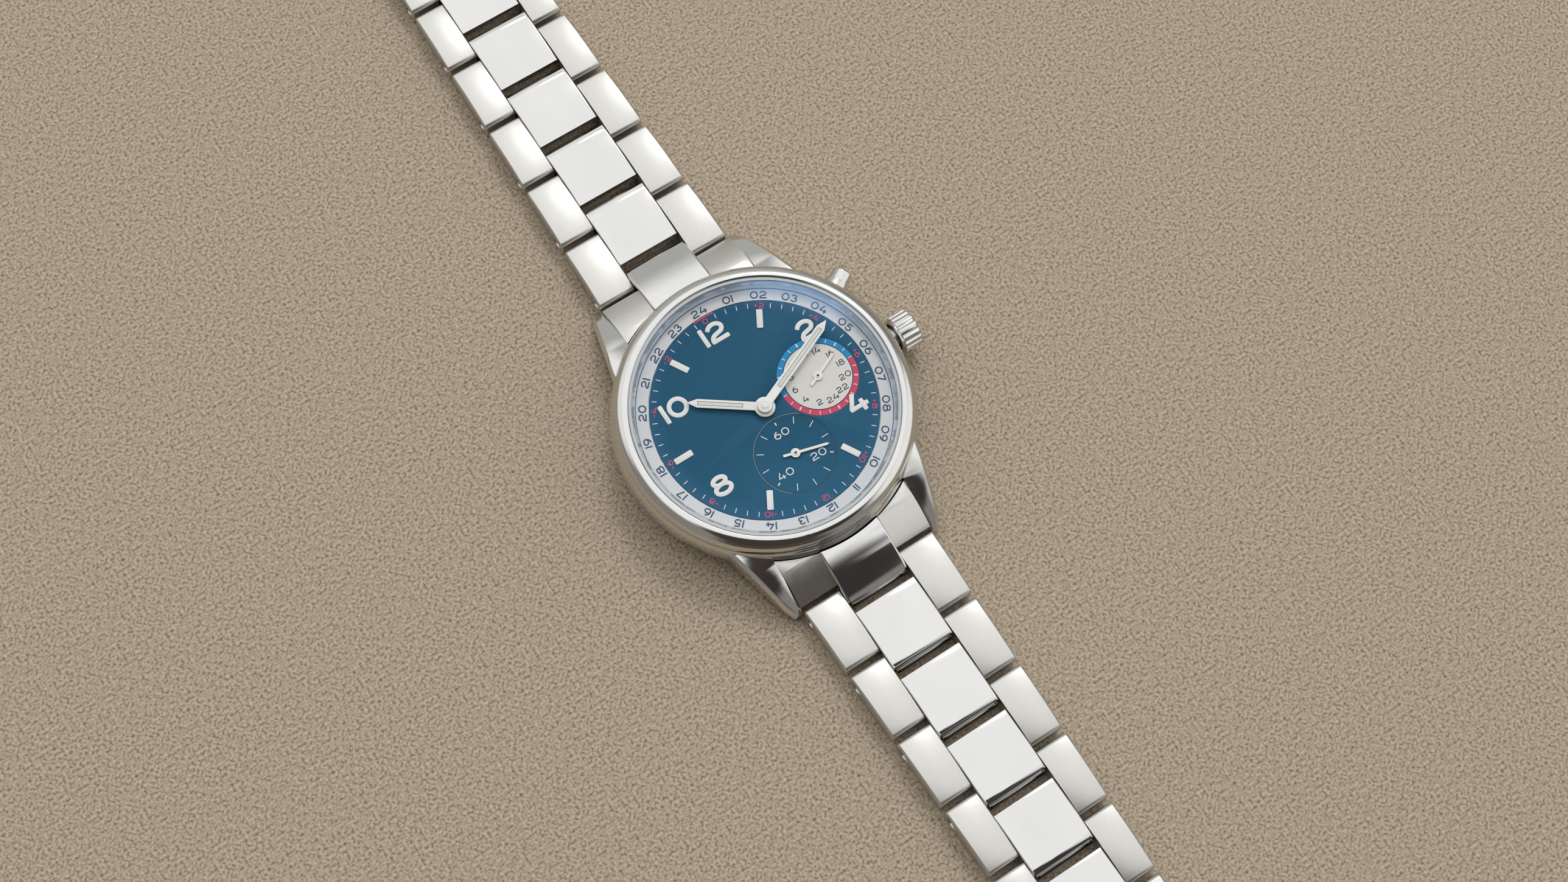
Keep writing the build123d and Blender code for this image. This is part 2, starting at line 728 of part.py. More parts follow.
# Balance wheel: a rim on two spokes round its staff
balance_bottom = bridge_bottom + balance_lift
with BuildPart() as balance_wheel:
    with BuildSketch(Plane.XY.offset(balance_bottom)):
        with Locations(balance_centre):
            Circle(balance_radius)
            Circle(balance_radius - balance_rim_width, mode=Mode.SUBTRACT)
            Rectangle(2 * balance_radius - balance_rim_width, balance_spoke_width)
            Circle(balance_spoke_width)
    extrude(amount=balance_thickness)
    with BuildSketch(Plane.XY.offset(bridge_bottom)):
        with Locations(balance_centre):
            Circle(balance_staff_radius)
    extrude(amount=bridge_thickness + main_plate_thickness)
finish(balance_wheel, "balance_wheel")

# Rotor: a heavy half ring on a thin web, turning on the post of the three-quarter plate
with BuildPart() as rotor:
    with BuildSketch(Plane.XY.offset(rotor_bottom)):
        Circle(rotor_radius)
        Rectangle(2 * rotor_radius, rotor_radius, align=(Align.CENTER, Align.MIN),
                  mode=Mode.SUBTRACT)
        Circle(rotor_hub_radius)
        Circle(rotor_post_radius + running_fit, mode=Mode.SUBTRACT)
    extrude(amount=rotor_web_thickness)
    with BuildSketch(Plane.XY.offset(rotor_bottom)):
        Circle(rotor_radius)
        Circle(rotor_radius - rotor_rim_width, mode=Mode.SUBTRACT)
        Rectangle(2 * rotor_radius, rotor_radius, align=(Align.CENTER, Align.MIN),
                  mode=Mode.SUBTRACT)
    extrude(amount=rotor_rim_thickness)
finish(rotor, "rotor")


def toothed_face(teeth, start_angle):
    """A small wheel's face, drawn in the open sketch: a root disc with straight-sided teeth."""
    pitch_radius = teeth * gear_module / 2
    root_radius = pitch_radius - gear_module * 5 / 4
    tip_radius = pitch_radius + gear_module * 4 / 5
    half_tooth = (gear_module * pi / 2 - gear_tooth_gap) / 2
    Circle(root_radius)
    with PolarLocations(0, teeth, start_angle=start_angle):
        Polygon((root_radius * 4 / 5, -half_tooth * 4 / 3), (tip_radius, -half_tooth * 2 / 3),
                (tip_radius, half_tooth * 2 / 3), (root_radius * 4 / 5, half_tooth * 4 / 3),
                align=None)


# Motion work under the dial: cannon pinion, minute wheel with its pinion, hour wheel with its pipe
hour_wheel_bottom = train_floor + 2 * wheel_thickness
minute_hand_bottom = dial_surface_height + minute_hand_lift
hour_hand_bottom = dial_surface_height + hour_hand_lift
with BuildPart() as cannon_pinion:
    with BuildSketch(Plane.XY.offset(train_floor)):
        toothed_face(cannon_teeth, minute_wheel_angle)
    extrude(amount=cannon_gear_height)
    with BuildSketch(Plane.XY.offset(train_floor)):
        Circle(cannon_radius)
    extrude(amount=minute_hand_bottom + main_hand_thickness - train_floor)
    with BuildSketch(Plane.XY.offset(train_floor)):
        Circle(centre_post_radius + running_fit)
    extrude(amount=minute_hand_bottom - train_floor, mode=Mode.SUBTRACT)
finish(cannon_pinion, "cannon_pinion")

with BuildPart() as minute_wheel:
    wheel_plane = Plane(origin=(*minute_wheel_centre, train_floor))
    with BuildSketch(wheel_plane):
        toothed_face(minute_wheel_teeth, minute_wheel_angle + 180 + 180 / minute_wheel_teeth)
    extrude(amount=wheel_thickness)
    with BuildSketch(wheel_plane):
        toothed_face(minute_pinion_teeth, minute_wheel_angle + 180)
    extrude(amount=3 * wheel_thickness)
    with BuildSketch(wheel_plane):
        Circle(centre_post_radius + running_fit)
    extrude(amount=3 * wheel_thickness, mode=Mode.SUBTRACT)
finish(minute_wheel, "minute_wheel")

with BuildPart() as hour_wheel:
    with BuildSketch(Plane.XY.offset(hour_wheel_bottom)):
        toothed_face(hour_wheel_teeth, minute_wheel_angle + 180 / hour_wheel_teeth)
    extrude(amount=wheel_thickness)
    with BuildSketch(Plane.XY.offset(hour_wheel_bottom)):
        Circle(hour_pipe_radius)
    extrude(amount=hour_hand_bottom + main_hand_thickness - hour_wheel_bottom)
    with BuildSketch(Plane.XY.offset(hour_wheel_bottom)):
        Circle(cannon_radius + running_fit)
    extrude(amount=hour_hand_bottom + main_hand_thickness - hour_wheel_bottom, mode=Mode.SUBTRACT)
finish(hour_wheel, "hour_wheel")

# Dial: a disc on two feet, with two sunk sub-dials and the holes of the hands
with BuildPart() as dial:
    with BuildSketch(Plane.XY.offset(dial_seat_height)):
        Circle(dial_radius)
    extrude(amount=dial_thickness)
    with BuildSketch(Plane.XY.offset(dial_surface_height - sub_dial_depth)):
        with Locations((0, seconds_y)):
            Circle(seconds_dial_radius)
        with Locations((home_x, 0)):
            Circle(home_dial_radius)
    extrude(amount=sub_dial_depth, mode=Mode.SUBTRACT)
    with BuildSketch(Plane.XY.offset(dial_seat_height)):
        Circle(dial_bore_radius)
        with Locations((0, seconds_y), (home_x, 0)):
            Circle(small_arbor_hole_radius)
    extrude(amount=dial_thickness, mode=Mode.SUBTRACT)
    with BuildSketch(Plane.XY.offset(dial_seat_height - dial_foot_length)):
        with Locations(*dial_feet):
            Circle(dial_foot_radius)
    extrude(amount=dial_foot_length)
finish(dial, "dial")

# Zone ring: turns round the dial on top of the movement ring
city_ring_top = dial_surface_height
with BuildPart() as city_ring:
    with BuildSketch(Plane.XZ):
        with BuildLine():
            inner = dial_radius + city_ring_gap
            Polyline(
                (inner, city_ring_top - city_ring_thickness),
                (city_ring_radius, city_ring_top - city_ring_thickness),
                (city_ring_radius, city_ring_top), (inner, city_ring_top - city_ring_drop),
                close=True)
        make_face()
    revolve(axis=Axis.Z)
finish(city_ring, "city_ring")

# Hour markers: five batons that stand on the dial
with BuildPart() as hour_markers:
    for turn_share in baton_turn_shares:
        turn = clock_angle(turn_share)
        x, y = polar(baton_place_radius, turn)
        with BuildSketch(Plane.XY.offset(dial_surface_height)):
            with Locations(Location((x, y, 0), (0, 0, turn))):
                RectangleRounded(baton_length, baton_width, baton_corner)
        extrude(amount=baton_height)
finish(hour_markers, "hour_markers")


def hand_face(length, hub_radius):
    """A pencil hand and its hub, drawn in the open sketch along its X axis."""
    half = main_hand_width / 2
    Polygon((0, -half), (length - main_tip_length, -half), (length, 0),
            (length - main_tip_length, half), (0, half), align=None)
    Circle(hub_radius)


def small_hand(reading_share, centre, length, tail, plane_height):
    """A thin hand with a short tail, a round hub and an arbor down to the main plate."""
    plane = Plane(origin=(*centre, plane_height),
                  x_dir=(*polar(1, clock_angle(reading_share)), 0), z_dir=(0, 0, 1))
    with BuildPart() as hand:
        with BuildSketch(plane):
            Polygon((-tail, -small_hand_width / 2), (length - small_hand_width, -small_hand_width / 2),
                    (length, 0), (length - small_hand_width, small_hand_width / 2),
                    (-tail, small_hand_width / 2), align=None)
            Circle(small_hub_radius)
        extrude(amount=small_hand_thickness)
        with BuildSketch(plane):
            Circle(small_hub_radius / 2)
        extrude(amount=small_hand_thickness + small_boss_height)
        with BuildSketch(Plane(origin=(*centre, plate_bottom))):
            Circle(small_arbor_radius)
        extrude(amount=plane_height - plate_bottom)
    return hand


def main_hand(reading_share, bottom, length, hub_radius, pipe_radius, pipe_depth, slot_start, slot_end,
              boss_radius, boss_height):
    """An hour or minute hand: a pencil blade with a sunk channel, pressed on its pipe."""
    plane = Plane(origin=(0, 0, bottom), x_dir=(*polar(1, clock_angle(reading_share)), 0),
                  z_dir=(0, 0, 1))
    with BuildPart() as hand:
        with BuildSketch(plane):
            hand_face(length, hub_radius)
        extrude(amount=main_hand_thickness)
        with BuildSketch(plane.offset(main_hand_thickness / 2)):
            with Locations(((slot_start + slot_end) / 2, 0)):
                Rectangle(slot_end - slot_start, hand_slot_width)
        extrude(amount=main_hand_thickness / 2, mode=Mode.SUBTRACT)
        with BuildSketch(plane):
            Circle(boss_radius)
        extrude(amount=main_hand_thickness + boss_height)
        with BuildSketch(plane):
            Circle(pipe_radius)
        extrude(amount=pipe_depth, mode=Mode.SUBTRACT)
    return hand


# Hands, set to the time that they show
hour_hand = main_hand(
    (whole_hour_reading + minute_reading / 60) / 12, hour_hand_bottom, hour_hand_length, hour_hub_radius,
    hour_pipe_radius + push_fit, main_hand_thickness + hour_boss_height, hour_slot_start, hour_slot_end,
    hour_boss_radius, hour_boss_height)
finish(hour_hand, "hour_hand")
minute_hand = main_hand(
    minute_reading / 60, minute_hand_bottom, minute_hand_length, minute_hub_radius,
    cannon_radius + push_fit, main_hand_thickness, minute_slot_start, minute_slot_end,
    minute_hub_radius, minute_boss_height)
with minute_hand:
    with BuildSketch(Plane.XY.offset(minute_hand_bottom + main_hand_thickness)) as minute_cap:
        Circle(hub_cap_radius)
    extrude(minute_cap.sketch, amount=minute_boss_height + hub_cap_height)
finish(minute_hand, "minute_hand")
small_hand_bottom = dial_surface_height - sub_dial_depth + small_hand_lift
seconds_hand = small_hand(seconds_hand_reading / 60, (0, seconds_y), seconds_hand_length,
                          seconds_tail_length, small_hand_bottom)
finish(seconds_hand, "seconds_hand")
home_time_hand = small_hand(home_hand_reading / 24 + 1 / 2, (home_x, 0), home_hand_length,
                            home_tail_length, small_hand_bottom)
finish(home_time_hand, "home_time_hand")

# Spring bars: one between each pair of lugs
with BuildPart() as spring_bars:
    with BuildSketch(Plane.YZ):
        with Locations((spring_bar_y, spring_bar_height), (-spring_bar_y, spring_bar_height)):
            Circle(spring_bar_radius)
    extrude(amount=lug_inner_x - lug_gap, both=True)
    with BuildSketch(Plane.YZ):
        with Locations((spring_bar_y, spring_bar_height), (-spring_bar_y, spring_bar_height)):
            Circle(spring_bar_tip_radius)
    extrude(amount=lug_inner_x + spring_bar_tip_length, both=True)
finish(spring_bars, "spring_bars")


def along(side, pin_y):
    """Side view plane of a link: X runs outwards along the bracelet from the pin at pin_y, Y is up."""
    return Plane(origin=(0, side * pin_y, 0), x_dir=(0, side, 0), z_dir=(side, 0, 0))


def from_above(side, pin_y):
    """Top view plane of a link: X runs outwards along the bracelet from the pin at pin_y."""
    return Plane(origin=(0, side * pin_y, 0), x_dir=(0, side, 0), z_dir=(0, 0, 1))


def barrel(side, pin_y):
    """The rounded barrel of a centre link's outer end, in the open part, with its bore cut."""
    with BuildSketch(along(side, pin_y)) as round_face:
        with Locations((0, pin_height)):
            Circle(barrel_radius)
    extrude(round_face.sketch, amount=barrel_width / 2, both=True)
    with BuildSketch(along(side, pin_y)) as bore_face:
        with Locations((0, pin_height)):
            Circle(hinge_pin_radius + running_fit)
    extrude(bore_face.sketch, amount=centre_width, both=True, mode=Mode.SUBTRACT)


def end_link(side):
    """The fixed link between a pair of lugs: side is +1 at 12 o'clock and -1 at 6 o'clock."""
    view = along(side, 0)
    side_end_y = first_pin_y - pin_height - end_side_gap
    tab_end_y = first_pin_y + plate_lip
    with BuildPart() as link:
        with BuildSketch(view):
            with BuildLine():
                ThreePointArc((end_link_root_y, tab_root_height), (tab_crest_y, tab_crest_height),
                              (tab_end_y, link_thickness - plate_roll_drop))
                Polyline((tab_end_y, link_thickness - plate_roll_drop),
                         (tab_end_y, link_thickness - plate_lip_thickness),
                         (first_pin_y, link_thickness - plate_lip_thickness),
                         (first_pin_y, end_link_bottom), (end_link_root_y, end_link_bottom),
                         (end_link_root_y, tab_root_height))
            make_face()
        extrude(amount=centre_width / 2, both=True)
        tab_rims = link.edges().filter_by(
            lambda e: abs(e.center().X) > centre_width / 2 - row_gap
            and e.center().Z > tab_crest_height - link_thickness / 2
            and e.length > link_thickness)
        fillet(tab_rims, radius=tab_round)
        with BuildSketch(view):
            with BuildLine():
                ThreePointArc((end_link_root_y, end_side_root_height),
                              (end_side_crest_y, end_side_crest_height),
                              (side_end_y, end_side_end_height))
                Polyline((side_end_y, end_side_end_height), (side_end_y, end_link_bottom),
                         (end_link_root_y, end_link_bottom),
                         (end_link_root_y, end_side_root_height))
            make_face()
        extrude(amount=lug_inner_x - lug_gap, both=True)
        barrel(side, first_pin_y)
        with BuildSketch(view):
            with Locations((spring_bar_y, spring_bar_height)):
                Circle(spring_bar_radius + push_fit)
        extrude(amount=lug_inner_x, both=True, mode=Mode.SUBTRACT)
        with BuildSketch():
            Circle(case_radius + seat_gap)
        extrude(amount=case_top, mode=Mode.SUBTRACT)
    return link


def centre_link(side, pin_y):
    """A polished centre link fixed between the outer links that turn on the pin at pin_y."""
    start = plate_lip + plate_gap
    end = link_pitch + plate_lip
    shoulder = link_thickness - plate_camber
    rim = shoulder - plate_roll_drop
    with BuildPart() as link:
        with BuildSketch(along(side, pin_y)):
            with BuildLine():
                top = ThreePointArc((start + plate_roll_length, shoulder),
                                    ((start + end) / 2, link_thickness),
                                    (end - plate_roll_length, shoulder))
                TangentArc(top @ 0, (start, rim), tangent=-(top % 0))
                TangentArc(top @ 1, (end, rim), tangent=top % 1)
                Polyline((end, rim), (end, shoulder - plate_lip_thickness),
                         (link_pitch, shoulder - plate_lip_thickness),
                         (link_pitch, side_chamfer), (link_pitch - side_chamfer, 0),
                         (start + side_chamfer, 0), (start, side_chamfer), (start, rim))
            make_face()
        extrude(amount=centre_width / 2, both=True)
        fillet(link.edges().filter_by(
            lambda e: abs(e.center().X) > centre_width / 2 - row_gap
            and e.center().Z > rim), radius=centre_round)
        barrel(side, pin_y + link_pitch)
        with BuildSketch(along(side, pin_y)):
            with Locations(*[(place, pin_height) for place in link_pin_places]):
                Circle(link_pin_radius + push_fit)
        extrude(amount=centre_width, both=True, mode=Mode.SUBTRACT)
    return link


def hinge_screw(side, pin_y, cut):
    """The hinge screw across both rows at pin_y in the open part, or the bore it sits in."""
    across = Plane(origin=(0, side * pin_y, pin_height), x_dir=(0, 1, 0), z_dir=(1, 0, 0))
    half = row_half_width(pin_y)
    fit = push_fit if cut else 0
    reach = cut_over if cut else 0
    mode = Mode.SUBTRACT if cut else Mode.ADD
    head_start = hinge_inset - half
    with BuildSketch(across.offset(head_start + hinge_head_length - fit)) as shank_face:
        Circle(hinge_pin_radius + fit)
    extrude(shank_face.sketch, mode=mode,
            amount=2 * half - hinge_inset - hinge_head_length - hinge_blind + 2 * fit)
    with BuildSketch(across.offset(head_start - reach)) as head_face:
        Circle(hinge_head_radius + fit)
    extrude(head_face.sketch, amount=hinge_head_length + reach + fit, mode=mode)
    if not cut:
        with BuildSketch(across.offset(head_start)) as slot_face:
            Rectangle(hinge_slot_width, 2 * hinge_head_radius)
        extrude(slot_face.sketch, amount=hinge_slot_depth, mode=Mode.SUBTRACT)


def side_links(side, pin_y):
    """A pair of brushed outer links with their hinge screw and the two pins of the centre link."""
    start = -pin_height
    end = start + link_pitch - link_gap
    inner = centre_width / 2 + row_gap
    shoulder = link_thickness - side_camber
    pin_reach = row_half_width(pin_y + link_pitch) - link_pin_inset
    with BuildPart() as link:
        with BuildSketch(from_above(side, pin_y)):
            with BuildLine():
                Polyline((start, inner), (end, inner), (end, row_half_width(pin_y + end)),
                         (start, row_half_width(pin_y + start)), close=True)
            make_face()
            mirror(about=Plane.XZ)
        extrude(amount=link_thickness + cut_over)
        with BuildSketch(along(side, pin_y)) as side_view:
            with BuildLine():
                ThreePointArc((start, shoulder), ((start + end) / 2, link_thickness), (end, shoulder))
                Polyline((end, shoulder), (end, 0), (start, 0), (start, shoulder))
            make_face()
            fillet(side_view.vertices().group_by(Axis.Y)[-1], radius=side_round)
            chamfer(side_view.vertices().group_by(Axis.Y)[0], length=side_chamfer)
        extrude(amount=row_width_at_lugs, both=True, mode=Mode.INTERSECT)
        chamfer(link.edges().filter_by(
            lambda e: abs(e.center().X) > inner + link_bevel
            and e.center().Z > link_thickness - link_bevel
            and e.length > link_pitch / 2), length=side_bevel)
        hinge_screw(side, pin_y, cut=True)
        with BuildSketch(along(side, pin_y)):
            with Locations(*[(place, pin_height) for place in link_pin_places]):
                Circle(link_pin_radius + push_fit)
        extrude(amount=pin_reach + push_fit, both=True, mode=Mode.SUBTRACT)
        hinge_screw(side, pin_y, cut=False)
        with BuildSketch(along(side, pin_y)):
            with Locations(*[(place, pin_height) for place in link_pin_places]):
                Circle(link_pin_radius)
        extrude(amount=pin_reach, both=True)
    return link


# End links and the two runs of bracelet links
for side, mark, count in ((1, "12", link_12_count), (-1, "6", link_6_count)):
    finish(end_link(side), f"end_link_{mark}")
    for number in range(count):
        pin_y = first_pin_y + number * link_pitch
        finish(side_links(side, pin_y), f"side_links_{mark}_{number + 1}")
        finish(centre_link(side, pin_y), f"centre_link_{mark}_{number + 1}")

# Folding clasp on the 12 o'clock run: cover, long blade and short blade, folded shut
clasp_half_width = row_width_at_clasp / 2
channel_half_width = clasp_half_width - clasp_wall
cover_underside = link_thickness - clasp_plate_thickness
long_blade_top = cover_underside - blade_gap
long_hinge_y = clasp_end_y - long_hinge_inset
long_hinge_height = long_blade_top - clasp_eye_radius
short_hinge_y = clasp_start_y + short_hinge_inset
short_blade_top = short_blade_bottom + blade_thickness
short_hinge_height = short_blade_bottom + blade_gap + clasp_eye_radius
long_blade_half_width = channel_half_width - clasp_side_gap
long_eye_inner = long_blade_half_width - blade_eye_width
prong_end_y = clasp_start_y + clasp_prong_length
web_start_y = last_pin_12_y + plate_lip + plate_gap
clasp_view = Plane.YZ

with BuildPart() as clasp_cover:
    with BuildSketch():
        with Locations((0, clasp_start_y)):
            Rectangle(2 * clasp_half_width, clasp_length, align=(Align.CENTER, Align.MIN))
    extrude(amount=link_thickness)
    with BuildSketch(clasp_view) as cover_view:
        with Locations((clasp_start_y, clasp_wall_bottom)):
            Rectangle(clasp_length, link_thickness - clasp_wall_bottom,
                      align=(Align.MIN, Align.MIN))
        fillet(cover_view.vertices().group_by(Axis.Y)[-1], radius=cover_round)
        chamfer(cover_view.vertices().group_by(Axis.Y)[0], length=side_chamfer)
    extrude(amount=row_width_at_lugs, both=True, mode=Mode.INTERSECT)
    chamfer(clasp_cover.edges().filter_by(
        lambda e: abs(e.center().X) > channel_half_width and e.length > clasp_length / 2
        and e.center().Z > cover_underside), length=side_bevel)
    with BuildSketch(Plane.XY):
        with Locations((0, prong_end_y)):
            Rectangle(2 * channel_half_width, clasp_length, align=(Align.CENTER, Align.MIN))
    extrude(amount=cover_underside, mode=Mode.SUBTRACT)
    with BuildSketch(Plane.XY):
        with Locations((0, web_start_y)):
            Rectangle(centre_width + 2 * row_gap, clasp_length, align=(Align.CENTER, Align.MAX))
    extrude(amount=link_thickness, mode=Mode.SUBTRACT)
    with BuildSketch(Plane.XY):
        with Locations((0, long_hinge_y - clasp_eye_radius - cover_slot_gap)):
            Rectangle(short_blade_width + 2 * cover_slot_gap, clasp_length,
                      align=(Align.CENTER, Align.MIN))
    extrude(amount=link_thickness, mode=Mode.SUBTRACT)
    hinge_screw(1, last_pin_12_y, cut=True)
    with BuildSketch(clasp_view):
        with Locations((long_hinge_y, long_hinge_height)):
            Circle(clasp_pin_radius + push_fit)
    extrude(amount=clasp_half_width - hinge_inset + push_fit, both=True, mode=Mode.SUBTRACT)
    hinge_screw(1, last_pin_12_y, cut=False)
    for flip in (1, -1):
        with BuildSketch(clasp_view.offset(flip * (long_eye_inner + clasp_side_gap))):
            with Locations((long_hinge_y, long_hinge_height)):
                Circle(clasp_pin_radius)
        extrude(amount=flip * (clasp_half_width - hinge_inset - long_eye_inner - clasp_side_gap))
finish(clasp_cover, "clasp_cover")

with BuildPart() as clasp_blade_long:
    with BuildSketch(Plane.XY.offset(long_blade_top - blade_thickness)):
        with Locations((0, short_hinge_y)):
            Rectangle(2 * long_blade_half_width, long_hinge_y - short_hinge_y,
                      align=(Align.CENTER, Align.MIN))
    extrude(amount=blade_thickness)
    with BuildSketch(clasp_view):
        with Locations((long_hinge_y, long_hinge_height), (short_hinge_y, short_hinge_height)):
            Circle(clasp_eye_radius)
    extrude(amount=long_blade_half_width, both=True)
    notch_half_width = short_blade_width / 2 + clasp_side_gap
    with BuildSketch(Plane.XY):
        with Locations((0, short_hinge_y - clasp_eye_radius)):
            Rectangle(2 * notch_half_width, 2 * clasp_eye_radius + clasp_side_gap,
                      align=(Align.CENTER, Align.MIN))
        with Locations((0, long_hinge_y + clasp_eye_radius)):
            Rectangle(2 * long_eye_inner, 2 * clasp_eye_radius + clasp_side_gap,
                      align=(Align.CENTER, Align.MAX))
    extrude(amount=link_thickness, mode=Mode.SUBTRACT)
    with BuildSketch(clasp_view):
        with Locations((long_hinge_y, long_hinge_height)):
            Circle(clasp_pin_radius + clasp_eye_fit)
        with Locations((short_hinge_y, short_hinge_height)):
            Circle(clasp_pin_radius + push_fit)
    extrude(amount=channel_half_width, both=True, mode=Mode.SUBTRACT)
    with BuildSketch(clasp_view):
        with Locations((short_hinge_y, short_hinge_height)):
            Circle(clasp_pin_radius)
    extrude(amount=long_blade_half_width - clasp_side_gap, both=True)
finish(clasp_blade_long, "clasp_blade_long")

fork_pin_y = clasp_end_y + fork_reach
fork_inner = centre_width / 2 + row_gap
fork_start_y = clasp_end_y + fork_stand_off
with BuildPart() as clasp_blade_short:
    with BuildSketch(Plane.XY.offset(short_blade_bottom)):
        with Locations((0, short_hinge_y)):
            Rectangle(short_blade_width, fork_start_y - short_hinge_y,
                      align=(Align.CENTER, Align.MIN))
        with Locations((0, fork_start_y)):
            Rectangle(2 * (fork_inner + fork_cheek_width), fork_reach - fork_stand_off - barrel_radius,
                      align=(Align.CENTER, Align.MIN))
    extrude(amount=blade_thickness)
    with BuildSketch(clasp_view):
        with Locations((short_hinge_y, short_hinge_height)):
            Circle(clasp_eye_radius)
    extrude(amount=short_blade_width / 2, both=True)
    with BuildSketch(clasp_view):
        with Locations((fork_pin_y, pin_height)):
            Circle(fork_cheek_radius)
        with Locations((fork_pin_y, short_blade_bottom)):
            Rectangle(fork_reach - fork_stand_off, fork_cheek_radius,
                      align=(Align.MAX, Align.MIN))
    extrude(amount=fork_inner + fork_cheek_width, both=True)
    with BuildSketch(Plane.XY):
        with Locations((0, fork_pin_y - barrel_radius)):
            Rectangle(2 * fork_inner, fork_reach + barrel_radius, align=(Align.CENTER, Align.MIN))
    extrude(amount=link_thickness, mode=Mode.SUBTRACT)
    with BuildSketch(Plane.XY.offset(short_blade_top)):
        with Locations((0, fork_start_y)):
            Rectangle(2 * fork_inner, fork_reach, align=(Align.CENTER, Align.MIN))
    extrude(amount=link_thickness, mode=Mode.SUBTRACT)
    with BuildSketch(clasp_view):
        with Locations((short_hinge_y, short_hinge_height)):
            Circle(clasp_pin_radius + clasp_eye_fit)
        with Locations((fork_pin_y, pin_height)):
            Circle(fork_pin_radius)
    extrude(amount=channel_half_width, both=True, mode=Mode.SUBTRACT)
finish(clasp_blade_short, "clasp_blade_short")
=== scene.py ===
# %% [markdown]
# # A world time watch on a steel bracelet
#
# This lesson dresses a measured model of a wristwatch. The frame that is loaded first holds every
# solid of the watch at its real size: case, crystal, movement, dial, hands, twelve rows of links and
# a folding clasp. The steps below give each of them its finish, and add what is printed, filled or
# screwed onto them. Lengths are written in millimetres and turned into metres by `MM`.

# %% Load the measured frame
import json
from math import cos, pi, radians, sin

import bpy
from mathutils import Matrix, Vector


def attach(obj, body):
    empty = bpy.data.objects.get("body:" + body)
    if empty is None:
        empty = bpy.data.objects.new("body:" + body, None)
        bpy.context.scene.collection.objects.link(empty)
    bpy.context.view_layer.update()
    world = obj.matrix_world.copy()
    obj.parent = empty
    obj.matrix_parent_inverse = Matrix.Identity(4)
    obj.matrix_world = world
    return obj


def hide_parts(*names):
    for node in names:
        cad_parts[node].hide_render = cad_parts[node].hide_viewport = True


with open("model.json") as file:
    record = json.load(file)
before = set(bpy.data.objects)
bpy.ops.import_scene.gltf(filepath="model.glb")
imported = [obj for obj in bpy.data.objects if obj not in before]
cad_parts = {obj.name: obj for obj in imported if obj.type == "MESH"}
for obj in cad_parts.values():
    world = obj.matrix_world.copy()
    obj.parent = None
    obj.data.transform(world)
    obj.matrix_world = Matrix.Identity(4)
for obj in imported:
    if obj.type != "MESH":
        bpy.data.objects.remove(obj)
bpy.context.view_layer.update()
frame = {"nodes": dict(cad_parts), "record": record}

MM = 0.001
nodes = frame["nodes"]
print("solids in the frame:", len(nodes))

# %% [markdown]
# ## Picking things up and putting them down
#
# Every operator acts on what is selected, so each step starts by selecting one object alone. These
# few helpers do that, name the new object, and at the end bake its place into its mesh, so that the
# object itself stays at the origin, where patterns on object coordinates don't slide.


# %% Selection helpers
def only(piece):
    """Select this object alone and make it the active one."""
    bpy.ops.object.select_all(action="DESELECT")
    piece.select_set(True)
    bpy.context.view_layer.objects.active = piece


def settle(piece, name, body, finish, slot):
    """Name a finished piece, bake its place into its mesh, and give it its finish and its body."""
    only(piece)
    bpy.ops.object.transform_apply(location=True, rotation=True, scale=True)
    piece.name = name
    piece.data.name = name
    piece.data.materials.clear()
    piece.data.materials.append(finish)
    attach(piece, body)


def apply_modifiers(piece):
    """Turn every modifier of a piece into plain mesh."""
    only(piece)
    for modifier in list(piece.modifiers):
        bpy.ops.object.modifier_apply(modifier=modifier.name)


def joined(pieces):
    """Join new objects into the first of them and return it."""
    only(pieces[0])
    for piece in pieces[1:]:
        piece.select_set(True)
    if len(pieces) > 1:
        bpy.ops.object.join()
    return pieces[0]


def polar(radius, angle):
    """A point at this radius and angle in degrees from 3 o'clock, anticlockwise."""
    return radius * cos(radians(angle)), radius * sin(radians(angle))


def clock_angle(share_of_turn):
    """Angle in degrees from 3 o'clock of a mark that is this share of a turn past 12 o'clock."""
    return 90 - 360 * share_of_turn


# %% [markdown]
# ## Shader maths as plain expressions
#
# A finish is easiest to read as a formula. `Value` wraps a node socket, and each operator on it adds
# the Math node that does the sum. `Finish` starts a material with one Principled shader, and its
# method `node` adds any other node from its type, its settings and what goes into its sockets.


# %% A socket that can be used in sums
class Value:
    """An output socket of a finish, which can be used in Python expressions."""

    def __init__(self, finish, socket):
        self.finish = finish
        self.socket = socket

    def sum(self, operation, *terms):
        """The result of a Math node on these terms."""
        sockets = dict(enumerate(terms))
        return self.finish.node("ShaderNodeMath", {"operation": operation}, sockets)

    def __add__(self, other):
        return self.sum("ADD", self, other)

    def __sub__(self, other):
        return self.sum("SUBTRACT", self, other)

    def __rsub__(self, other):
        return self.sum("SUBTRACT", other, self)

    def __mul__(self, other):
        return self.sum("MULTIPLY", self, other)

    def __truediv__(self, other):
        return self.sum("DIVIDE", self, other)

    def __lt__(self, other):
        return self.sum("LESS_THAN", self, other)

    __radd__ = __add__
    __rmul__ = __mul__


